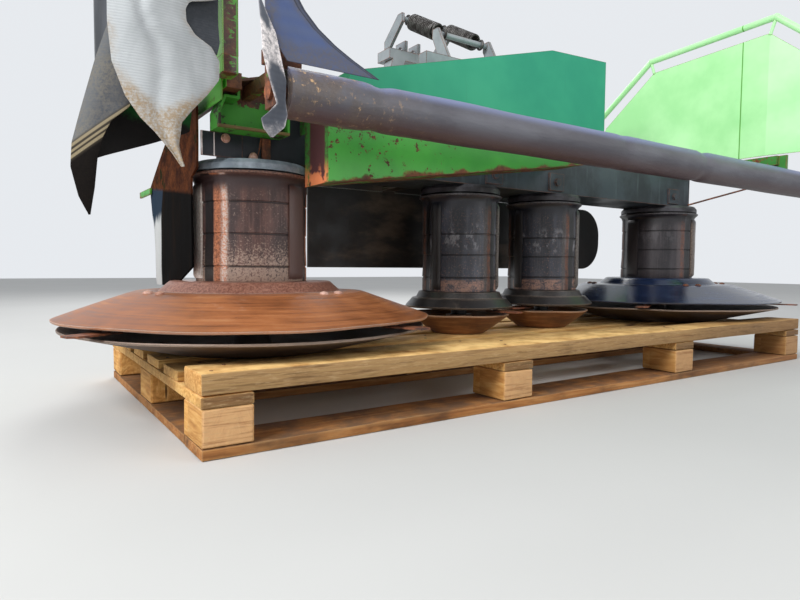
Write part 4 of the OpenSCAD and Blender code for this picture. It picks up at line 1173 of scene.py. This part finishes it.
def make_disc(number):
    """The disc's dome as a lathe form with a bent rim, and its stub."""
    s = SPINNERS[number]
    rim, foot, hub, flare, crown_r, crown = s[4:10]
    slope = np.linspace(0, 1, 14)
    rows = [(0.03, foot), (hub - 0.004, foot), (hub, foot - 0.0006)]
    rows += between((hub + 0.003, foot - 0.002), (flare, crown + 0.002), (0.0, 0.33, 0.66, 1.0))
    rows += [(flare + 0.004, crown + 0.0022), (crown_r - 0.006, crown + 0.0004)]
    rows += between((crown_r, crown), (rim, 0.0), slope)
    rows += [(rim - 0.0008, -0.0035), (rim - 0.003, -0.0052)]
    rows += between((crown_r, crown - 0.0052), (rim - 0.004, -0.0052), slope[::-1])
    rows += [(flare - 0.004, crown - 0.005), (hub - 0.004, foot - 0.006), (0.03, foot - 0.006)]

    def uneven(a, rr, h):
        out = np.clip((rr - crown_r) / (rim - crown_r), 0, 1)
        wave = flat_ripple(np.cos(a) * s.warp, np.sin(a) * s.warp, 60 + number, 0.6, 3.2)
        dents = flat_ripple(np.cos(a) * rr, np.sin(a) * rr, 70 + number, 2.0, 8.0)
        lift = (wave - 0.3) * s.lift
        return -abs(wave) * 0.0016 * out, lift * out ** 2 + (dents - 0.6) * 0.0007

    form = Form()
    form.grid(lathe(np.array(rows), 288, s.x, uneven), wrap_u=True)
    stub_r = SHAFT_R - 0.0001
    stub = np.array([(stub_r, foot - 0.003), (stub_r, -0.0755), (0.001, -0.0758)])
    form.grid(lathe(stub, 32, s.x), wrap_u=True)
    form.piece(f"disc_dome_{number}", f"rotor_{number}", f"disc_{number}", "disc_steel",
               stands_for=[f"disc_{number}"])


def make_saucer(number):
    """The skid dish under a disc, with a scalloped, worn rim."""
    s = SPINNERS[number]
    sole, edge, low, floor, boss = s.sole, s.rim - 0.012, -0.088, -0.083, -0.0302
    slope = np.linspace(0, 1, 10)
    rows = [(0.002, low), (sole - 0.01, low)]
    rows += [(sole + (edge - sole) * t, low + 0.059 * t ** 1.04) for t in slope]
    rows += [(edge + 0.0004, -0.0265), (edge - 0.001, -0.0242)]
    rows += [(sole - 0.003 + (edge - 0.004 - sole) * t, floor + 0.0002 + 0.0585 * t ** 1.04)
             for t in slope[::-1]]
    rows += [(0.05, floor), (0.041, boss), (SHAFT_R + 0.0002, boss),
             (SHAFT_R + 0.0002, floor), (0.002, floor)]

    def uneven(a, rr, h):
        out = np.clip((rr - sole) / (edge - sole), 0, 1) ** 2
        wave = flat_ripple(np.cos(a) * 0.5, np.sin(a) * 0.5, 80 + number, 0.6, 4.0)
        return -abs(wave) * 0.002 * out, (wave * 0.0016 - 0.0006) * out

    form = Form()
    form.grid(lathe(np.array(rows), 240, s.x, uneven), wrap_u=True)
    form.piece(f"saucer_dish_{number}", f"skid_{number}", f"saucer_{number}", "saucer_steel",
               stands_for=[f"saucer_{number}"])


for number in SPINNERS:
    make_drum(number)
    make_disc(number)
    make_saucer(number)


def make_disc_bolts():
    """Domed bolt heads in pairs round each outer disc, over the knife holders."""
    reach = 0.280
    for number, first, finish in ((1, -160.0, "bolt"), (4, -120.0, "knife")):
        s = SPINNERS[number]
        height = float(np.interp(reach, [s.hub, s.flare, s.crown_r, s.rim],
                                 [s.foot, s.crown + 0.003, s.crown, 0.0]))
        form = Form()
        for k in range(4):
            for spread in (-5.0, 5.0):
                a = np.radians(first + 90 * k + spread)
                at = np.array([s.x + reach * np.cos(a), reach * np.sin(a), height + 0.0004])
                button(form, at, (0.1 * np.cos(a), 0.1 * np.sin(a), 1.0), 0.0105, 0.006)
        form.piece(f"disc_bolts_{number}", f"rotor_{number}", finish, "ring_steel", 40)


def make_ring_bolts():
    """Screw heads round the underside flange of each bearing ring."""
    form = Form()
    for s in SPINNERS.values():
        reach = s.drum - 0.004
        for k in range(8):
            a = np.radians(22.5 + 45 * k)
            at = np.array([s.x + reach * np.cos(a), reach * np.sin(a), 0.3655])
            hex_head(form, at, (np.cos(a) * 0.2, np.sin(a) * 0.2, 1.0), 0.0065, 0.006)
    form.piece("ring_bolts", "frame", "bolt", "ring_steel")


make_disc_bolts()
make_ring_bolts()

# The pallet
DECK_TOP = -0.0883
LEAD_TOP = -0.0685
BOARD, SEAT = 0.022, 0.0003
BOARD_WIDE, BOARD_PITCH = 0.12, 0.168
BLOCK_HIGH, BLOCK_LONG = 0.072, 0.1
PALLET_FRONT, PALLET_BACK = -0.450, 0.51
HALF_LENGTH = 1.150
RUNNERS = (-0.39, 0.03, 0.45)
CROSS_BOARDS = [-HALF_LENGTH + i * 2.2 / 3 for i in range(4)]


def make_pallet():
    """Six deck boards, the front one a thick timber, on four cross boards,
    twelve blocks and the foot boards."""

    def lay(form, x, y, z, along, seed, *sawn):
        plank(form, (x[0], y[0], z[0]), (x[1], y[1], z[1]), along, seed, *sawn)

    whole, half = (-HALF_LENGTH, HALF_LENGTH), BOARD_WIDE / 2
    lead, deck, blocks, feet, nails = Form(), Form(), Form(), Form(), Form()
    lay(lead, whole, (PALLET_FRONT, PALLET_FRONT + 0.118), (DECK_TOP - BOARD, LEAD_TOP), 0, 200,
        0.0012, 0.003, 90)
    lead.piece("front_timber", "frame", "lead_wood", "pallet_wood", 30, ["pallet_deck"])
    for i in range(1, 6):
        y = PALLET_FRONT + i * BOARD_PITCH
        lay(deck, whole, (y, y + BOARD_WIDE), (DECK_TOP - BOARD, DECK_TOP), 0, 200 + i, 0.0009,
            0.002, 60)
    top = DECK_TOP - BOARD - SEAT
    for i, x in enumerate(CROSS_BOARDS):
        lay(deck, (x, x + BLOCK_LONG), (PALLET_FRONT, PALLET_BACK), (top - BOARD, top), 1,
            210 + i)
    deck.piece("deck_boards", "frame", "deck_wood", "pallet_wood", 30, ["pallet_deck"])
    top -= BOARD + SEAT
    for i, x in enumerate(CROSS_BOARDS):
        for k, y in enumerate(RUNNERS):
            lay(blocks, (x, x + BLOCK_LONG), (y - half, y + half), (top - BLOCK_HIGH, top), 1,
                220 + 3 * i + k, 0.0012, 0.003, 10)
    blocks.piece("spacer_blocks", "frame", "block_wood", "block_wood", 30, ["pallet_blocks"])
    top -= BLOCK_HIGH + SEAT
    for k, y in enumerate(RUNNERS):
        lay(feet, whole, (y - half, y + half), (top - BOARD, top), 0, 240 + k, 0.0009, 0.002, 60)
    for k, x in enumerate((CROSS_BOARDS[0], CROSS_BOARDS[-1])):
        for j in range(2):
            lay(feet, (x, x + BLOCK_LONG),
                (RUNNERS[j] + half + SEAT, RUNNERS[j + 1] - half - SEAT), (top - BOARD, top), 1,
                250 + 2 * k + j)
    feet.piece("foot_boards", "frame", "foot_wood", "pallet_wood", 30, ["pallet_feet"])
    for x in CROSS_BOARDS:
        for k in range(6):
            y = PALLET_FRONT + k * BOARD_PITCH + half
            high = LEAD_TOP if k == 0 else DECK_TOP
            for dx, dy in ((-0.022, -0.03), (0.02, 0.028)):
                button(nails, np.array([x + BLOCK_LONG / 2 + dx, y + dy, high - 0.0008]),
                       (0, 0, 1), 0.004, 0.0009, 10)
    nails.piece("deck_nails", "frame", "knife", "knife_steel", 40)


make_pallet()

# The springs
SPRING_X = 0.088
SPRING_FOOT = np.array([0.235, 0.955])
SPRING_HEAD = np.array([0.460, 1.080])
COILS, HOOK, WIRE, COIL_R = 17, 0.036, 0.0046, 0.0266


def make_springs():
    """Closed coils on the slanted line between the hangers, each a circle that
    climbs evenly, with hooks of bent wire at both ends."""
    run = SPRING_HEAD - SPRING_FOOT
    length = np.linalg.norm(run)
    way = np.array([0.0, run[0], run[1]]) / length
    side, normal = np.array([1.0, 0.0, 0.0]), np.cross(way, [1.0, 0.0, 0.0])
    form = Form()
    for e in (-1, 1):
        foot = np.array([e * SPRING_X, *SPRING_FOOT])
        t = np.linspace(0, 1, COILS * 22)
        a = t * COILS * TURN
        reach = COIL_R * np.clip(np.minimum(t, 1 - t) * 26, 0.3, 1)
        path = foot + way * (HOOK + t * (length - 2 * HOOK))[:, None] + (
            reach * np.cos(a))[:, None] * side + (reach * np.sin(a))[:, None] * normal
        tube(form, path, WIRE, 9)
        for end, sign in ((foot, 1), (foot + way * length, -1)):
            b = np.linspace(-2.6, 2.6, 20)
            loop = end + 0.0155 * (np.cos(b)[:, None] * -way * sign
                                   + np.sin(b)[:, None] * normal)
            tube(form, np.vstack([loop, [end + way * sign * (HOOK + 0.004)]]), WIRE, 9)
    form.piece("spring_coils", "frame", "spring", "spring_steel", 50, ["relief_springs"])


make_springs()

# Curtain and flaps
ROLL_Y, ROLL_Z = -0.420, 0.452
ROLL_X0, ROLL_X1 = -0.981, 1.290
ROLL_IN, ROLL_OUT, HALF_CLOTH = 0.0212, 0.0478, 0.0024
ROLL_TURNS = 4
CLOTH = 0.003


def make_roll():
    """The wound curtain: a spiral strip, r growing evenly with the angle, with
    creases where it was tied, carried along the rail."""
    xs = np.linspace(ROLL_X0, ROLL_X1, 190)
    t = np.linspace(0, 1, 44 * ROLL_TURNS)
    place = np.stack(np.broadcast_arrays(xs[:, None], t[None] * 0.25, 0.0), -1)
    swell = ripple(place, 300, 1.5, 6.0) * 0.0017 * t ** 2
    tie = sum(bell(xs, at, 0.02, 2) * deep
              for at, deep in ((-0.78, 0.006), (0.431, 0.005), (0.02, 0.002)))
    angle = np.radians(118) - t[None] * ROLL_TURNS * TURN + 0.25 * line(
        xs, 301, 0.5, 2.0)[:, None]
    mid = ROLL_IN + (ROLL_OUT - ROLL_IN) * t[None] + swell - tie[:, None] * t[None] ** 3
    outer, inner = (np.stack([
        np.broadcast_to(xs[:, None], r.shape), ROLL_Y + r * np.cos(angle),
        ROLL_Z + r * np.sin(angle)], -1) for r in (mid + HALF_CLOTH, mid - HALF_CLOTH))
    form = Form()
    form.layers(outer, inner, np.stack(np.broadcast_arrays(
        xs[:, None], t[None] * 0.867, 0.0), -1))
    roll = form.piece("wound_curtain", "frame", "curtain", "curtain", 60, ["curtain_roll"])


def hang(form, left, right, plane, rows, columns, bulge, thick=CLOTH, across=0,
         from_right=False, turned=0.0, border=0.045):
    """Adds a hanging cloth and gives its area. left and right are (side, height)
    points from top to bottom, and each level row runs between them: across is
    the axis that side lies on, plane the place on the other one. bulge(u, v)
    pushes the cloth out of that plane. Two layers thick apart are joined round
    the edge. The marks are metres across, metres down and nearness to the edge,
    which is at least turned."""
    top = max(left[0, 1], right[0, 1])
    deep = top - min(left[-1, 1], right[-1, 1])
    z = np.linspace(top, min(left[-1, 1], right[-1, 1]), rows)
    one, two = (np.interp(-z, -side[:, 1], side[:, 0])[:, None] for side in (left, right))
    v = np.broadcast_to((top - z)[:, None] / deep, (rows, columns))
    u = np.broadcast_to(np.linspace(0, 1, columns)[None], v.shape)
    face = np.empty((rows, columns, 3))
    face[..., across] = one + (two - one) * u
    face[..., 1 - across] = plane + bulge(u, v)
    face[..., 2] = z[:, None]
    normal = np.cross(np.gradient(face, axis=1), np.gradient(face, axis=0))
    normal /= np.linalg.norm(normal, axis=-1)[..., None] + 1e-12
    width = abs(two - one)
    inset = np.minimum(u, 1 - u) * width
    edge = 1 - np.clip(np.minimum(inset / border, (1 - v) * deep / 0.09), 0, 1)
    way = (1 - u) if from_right else u
    marks = np.stack([way * width, v * deep, np.maximum(edge, turned)], -1)
    form.layers(face + normal * thick / 2, face - normal * thick / 2, marks)
    return width.sum() * deep / rows


def make_corner_flap():
    """The pale cloth hung on the left cover: wide above, turned under at its
    right edge so that its dark back shows, drawn to a tip below."""
    left = mm(-1250, 1030, -1266, 700, -1267, 560, -1261, 491, -1240, 432, -1215, 396, -1189, 372,
              -1159, 338, -1140, 313)
    right = mm(-1062, 1030, -1062, 720, -1063, 660, -1068, 642, -1090, 634, -1124, 626,
               -1131, 612, -1129, 590, -1112, 567, -1081, 550, -1066, 525, -1067, 489, -1091, 456,
               -1120, 423, -1140, 397, -1146, 353, -1137, 313)

    def bulge(u, v):
        drop = 0.717 * v
        broad = -0.010 * np.sin(np.pi * u) * (1 - 0.5 * v)
        lobe = -0.010 * bell(u, 0.95, 0.3, 2) * bell(drop, 0.385, 0.035, 2)
        crease = 0.007 * bell(u - 0.2 * (drop - 0.5), 0.42, 0.09, 2) * bell(drop, 0.46, 0.12, 2)
        folds = -0.005 * np.sin(7.0 * u + 9.0 * v) * np.clip(v * 1.6 - 0.8, 0, 1)
        return broad + lobe + crease + folds + flat_ripple(
            u * 0.2, v * 0.7, 320, 1.0, 5.0) * 0.0016

    form = Form()
    area = hang(form, left, right, -0.303, 170, 44, bulge)
    left = mm(-1128, 645, -1130, 600, -1106, 552, -1085, 540)
    right = mm(-1064, 700, -1064, 600, -1062, 565, -1068, 540)
    area += hang(form, left, right, -0.298, 40, 16,
                 lambda u, v: 0.006 * np.sin(np.pi * v) * u, turned=2.0)
    flap = form.piece("corner_cloth", "cover_left", "flap", "flap_cloth", 60, ["corner_flap"])


def make_side_curtain():
    """The cloth over the outside of the left cover, hung from its rail, with a
    long torn end at its front corner that curls to a dark tip."""
    form = Form()
    left = mm(139, 1040, 139, 573)
    right = mm(-295, 1040, -295, 573)

    def side(u, v):
        return 0.03 * bell(v, 0.0, 0.09, 2) + flat_ripple(
            u * 0.4, v * 0.4, 330, 1.0, 4.0) * 0.003

    area = hang(form, left, right, -1.231, 70, 44, side, across=1)
    deep, long = 0.148, 0.434
    u, v = np.meshgrid(np.linspace(0, 1, 20), np.linspace(0, 1, 30), indexing="ij")
    top = np.stack([-1.201 + deep * u, -0.295 + long * v,
                    1.040 + 0.022 * np.sin(u * np.pi / 2)], -1)
    form.layers(top, top - np.array([0, 0, CLOTH]))
    area += deep * long
    left = mm(-1236, 700, -1240, 640, -1262, 560, -1279, 507, -1306, 407, -1322, 345, -1326, 300,
              -1316, 246, -1302, 213)
    right = mm(-1224, 700, -1224, 500, -1229, 417, -1262, 385, -1276, 355, -1285, 320, -1291, 262,
               -1299, 213)

    def wing(u, v):
        return 0.05 * (1 - u) ** 1.5 * np.sin(np.pi * np.clip(v, 0, 1)) - 0.002

    area += hang(form, left, right, -0.292, 120, 20, wing)
    item = form.piece("side_cloth", "cover_left", "side_cloth", "flap_cloth", 60,
                      ["side_curtain"])


def make_drape():
    """The end of the curtain, painted blue-grey as shade tinted by the sky, with a
    double hem down its hollow right edge, and the torn strip that hangs beside the roll's end."""
    left = mm(-1030, 759, -1029, 640, -1026, 560, -985, 503)
    right = mm(-1001, 759, -990, 690, -976, 640, -950, 602, -921, 574, -885, 550, -846, 530,
               -785, 503)
    form = Form()
    area = hang(form, left, right, -0.4515, 80, 40, lambda u, v: flat_ripple(
        u * 0.12, v * 0.3, 340, 1.5, 6.0) * 0.0018, from_right=True)
    item = form.piece("hanging_cloth", "frame", "drape", "drape_cloth", 60, ["curtain_drape"])
    left = mm(-1044, 600, -1040, 540, -1039, 508, -1031, 474, -1020, 441, -1012, 418, -1028, 400,
              -1041, 388, -1036, 371, -1022, 357)
    right = mm(-1041, 600, -1010, 545, -997, 495, -989, 464, -992, 427, -989, 401, -995, 378,
               -1018, 357)

    def strip(u, v):
        curl = -0.006 * np.cos(np.pi * u) * np.sin(np.pi * v)
        return curl + flat_ripple(u * 0.1, v * 0.4, 350, 2.0, 8.0) * 0.002

    form = Form()
    area = hang(form, left, right, -0.462, 110, 24, strip, border=0.011)
    item = form.piece("torn_strip", "frame", "strip", "drape_cloth", 60, ["curtain_drape"])


make_roll()
make_corner_flap()
make_side_curtain()
make_drape()

# Plates and small trim


def make_end_plate():
    """The left end plate: a sheet whose rear edge slants in above and bows in
    below, a little dished."""
    rear = mm(120, 512, 150, 470, 205, 446, 396, 352, 401, 330, 380, 270, 356, 226, 338, 160,
              331, 85, 322, 66)
    front = mm(-99, 512, -99, 348, -52, 330, -52, 118, 120, 66)

    def dish(u, v):
        crumple = bell(v, 0.45, 0.16, 2) * bell(u, 0.05, 0.1, 2)
        return -0.0008 + 0.0016 * np.clip(
            flat_ripple(u * 0.6, v * 0.5, 360, 1.0, 5.0) + crumple, -1, 1)

    form = Form()
    hang(form, rear, front, -1.053, 120, 40, dish, 0.005, across=1)
    form.piece("end_plate_left", "frame", "end_plate", "end_rust", 40, ["end_board_left"])


def make_inner_plate():
    """The dark plate inside the left cover, seen between its two cloths: a
    flat sheet with a slanting lower edge."""
    left = mm(-1232, 620, -1232, 510, -1255, 470, -1270, 431, -1281, 377, -1283, 324)
    right = mm(-1150, 620, -1130, 500, -1105, 440, -1110, 392, -1183, 361, -1280, 324)
    form = Form()
    hang(form, left, right, -0.247, 60, 16,
         lambda u, v: flat_ripple(u, v, 370, 0.5, 2.0) * 0.001)
    form.piece("cover_inner_plate", "cover_left", "inner_plate", "green_paint", 40)


# Name, body, finish and slot of each flat piece, then its corners, the axis it
# is sawn along, seed, unevenness, rounding and stations
BOARD_Y = 0.2152
SLABS = (
    ("beam_end_plate", "frame", "beam", "dark_paint",
     (-1.0475, -0.1040, 0.3755), (-0.9490, -0.1004, 0.4315), 0, 402, 0.0, 0.0006, 6),
    ("side_frame_web", "frame", "side_green", "green_paint",
     (-1.0285, -0.2000, 0.4830), (-1.0262, 0.1000, 0.5480), 1, 410, 0.0, 0.0006, 12),
    ("post_foot", "cover_left", "cover", "hood_paint",
     (-1.0420, -0.2500, 0.5250), (-1.0080, -0.2000, 0.5640), 2, 411, 0.0, 0.001, 6),
    ("end_tab", "frame", "frame_green", "green_paint",
     (-1.0630, 0.3700, 0.3290), (-1.0562, 0.5170, 0.3470), 1, 412, 0.0, 0.0008, 6),
    ("crop_board_top", "frame", "board", "board_rubber",
     (-0.6300, BOARD_Y, 0.3732), (0.4600, BOARD_Y + 0.0060, 0.4300), 0, 420, 0.0006, 0.001, 30),
)


def make_slabs():
    """The plate that closes the beam's left end, the deep web on the side
    frame's bar, the cover post's foot, the short tab behind the end plate and
    the crop board's turned-up top."""
    for name, body, finish, slot, *sawn in SLABS:
        form = Form()
        plank(form, *sawn)
        form.piece(name, body, finish, slot)


def make_beam_trim():
    """At the beam's left end: bright folded edges, bolts, a brown strap and the
    thin wire beside it. At its right end: the thin stay up to the roll."""
    edges, strap, bolt, stay = Form(), Form(), Form(), Form()
    for x in (-1.0450, -1.0170):
        plank(edges, (x - 0.0012, -0.1062, 0.3758), (x + 0.0012, -0.1038, 0.4310), 2, 400, 0.0,
              0.0004, 4)
    edges.piece("beam_edges", "frame", "edge_strip", "ring_steel")
    plank(strap, (-0.903, -0.1090, 0.376), (-0.880, -0.1010, 0.4300), 2, 401, 0.0006, 0.001, 8)
    tube(strap, [(-0.918, -0.108, 0.372), (-0.911, -0.112, 0.400), (-0.905, -0.108, 0.4305)],
         0.0014, 8)
    strap.piece("beam_strap", "frame", "strap", "knife_steel")
    hex_head(bolt, np.array([-0.990, -0.1038, 0.4195]), (0, -1, 0), 0.008, 0.008)
    button(bolt, np.array([-0.925, -0.108, 0.3775]), (0, -0.3, 1), 0.011, 0.016)
    bolt.piece("beam_bolts", "frame", "bolt", "ring_steel")
    tube(stay, [(0.941, -0.101, 0.385), (0.990, -0.177, 0.410), (1.040, -0.254, 0.435),
                (1.112, -0.366, 0.4715)], 0.0035, 10)
    stay.piece("roll_stay", "frame", "knife", "knife_steel", 50)


make_end_plate()
make_inner_plate()
make_slabs()
make_beam_trim()

# Floor and light


def make_stage():
    """A pale floor under the machine."""
    low, reach = cad_box[0][2], 14.0
    mesh = bpy.data.meshes.new("floor")
    mesh.from_pydata([(-reach, -reach, low), (reach, -reach, low), (reach, reach, low),
                      (-reach, reach, low)], [], [(0, 1, 2, 3)])
    floor = bpy.data.objects.new("floor", mesh)
    bpy.context.scene.collection.objects.link(floor)
    g = Paint("floor_grey")
    g.colour = g.mix(g.noise(1.2, 4.0, 0.5), (206, 206, 204), (196, 196, 194))
    mesh.materials.append(g.dry(0.9))


def lamp(name, at, towards, size, power):
    data = bpy.data.lights.new(name, "AREA")
    data.energy = power
    data.size = size
    item = bpy.data.objects.new(name, data)
    bpy.context.scene.collection.objects.link(item)
    item.location = at
    item.rotation_euler = (Vector(towards) - Vector(at)).to_track_quat("-Z", "Y").to_euler()


def light_scene():
    """A pale room, brighter to the camera and in mirrors, and three lamps."""
    world = bpy.data.worlds.new("studio")
    bpy.context.scene.world = world
    world.use_nodes = True
    world.node_tree.nodes.clear()
    g = Graph(world.node_tree)
    path = g.node("ShaderNodeLightPath").outputs
    seen = most(*(Value(g, path[f"Is {kind} Ray"]) for kind in ("Camera", "Glossy",
                                                               "Transmission")))
    strength = g.put("ShaderNodeMapRange", {"Value": seen, "To Min": 0.55, "To Max": 0.86})
    back = g.node("ShaderNodeBackground", {"Color": (0.93, 0.96, 1.0, 1.0),
                                           "Strength": strength})
    out = g.node("ShaderNodeOutputWorld")
    g.tree.links.new(back.outputs[0], out.inputs[0])
    lamp("key", (-4.3, -2.0, 2.3), (-0.2, -0.4, -0.4), 2.0, 235)
    lamp("fill", (2.0, -4.4, 1.2), (0.2, -0.4, -0.3), 3.0, 60)
    lamp("back", (1.0, 3.4, 3.0), (0.0, 0.0, 0.0), 2.6, 130)


make_stage()
light_scene()
bpy.context.scene.view_settings.view_transform = "Standard"
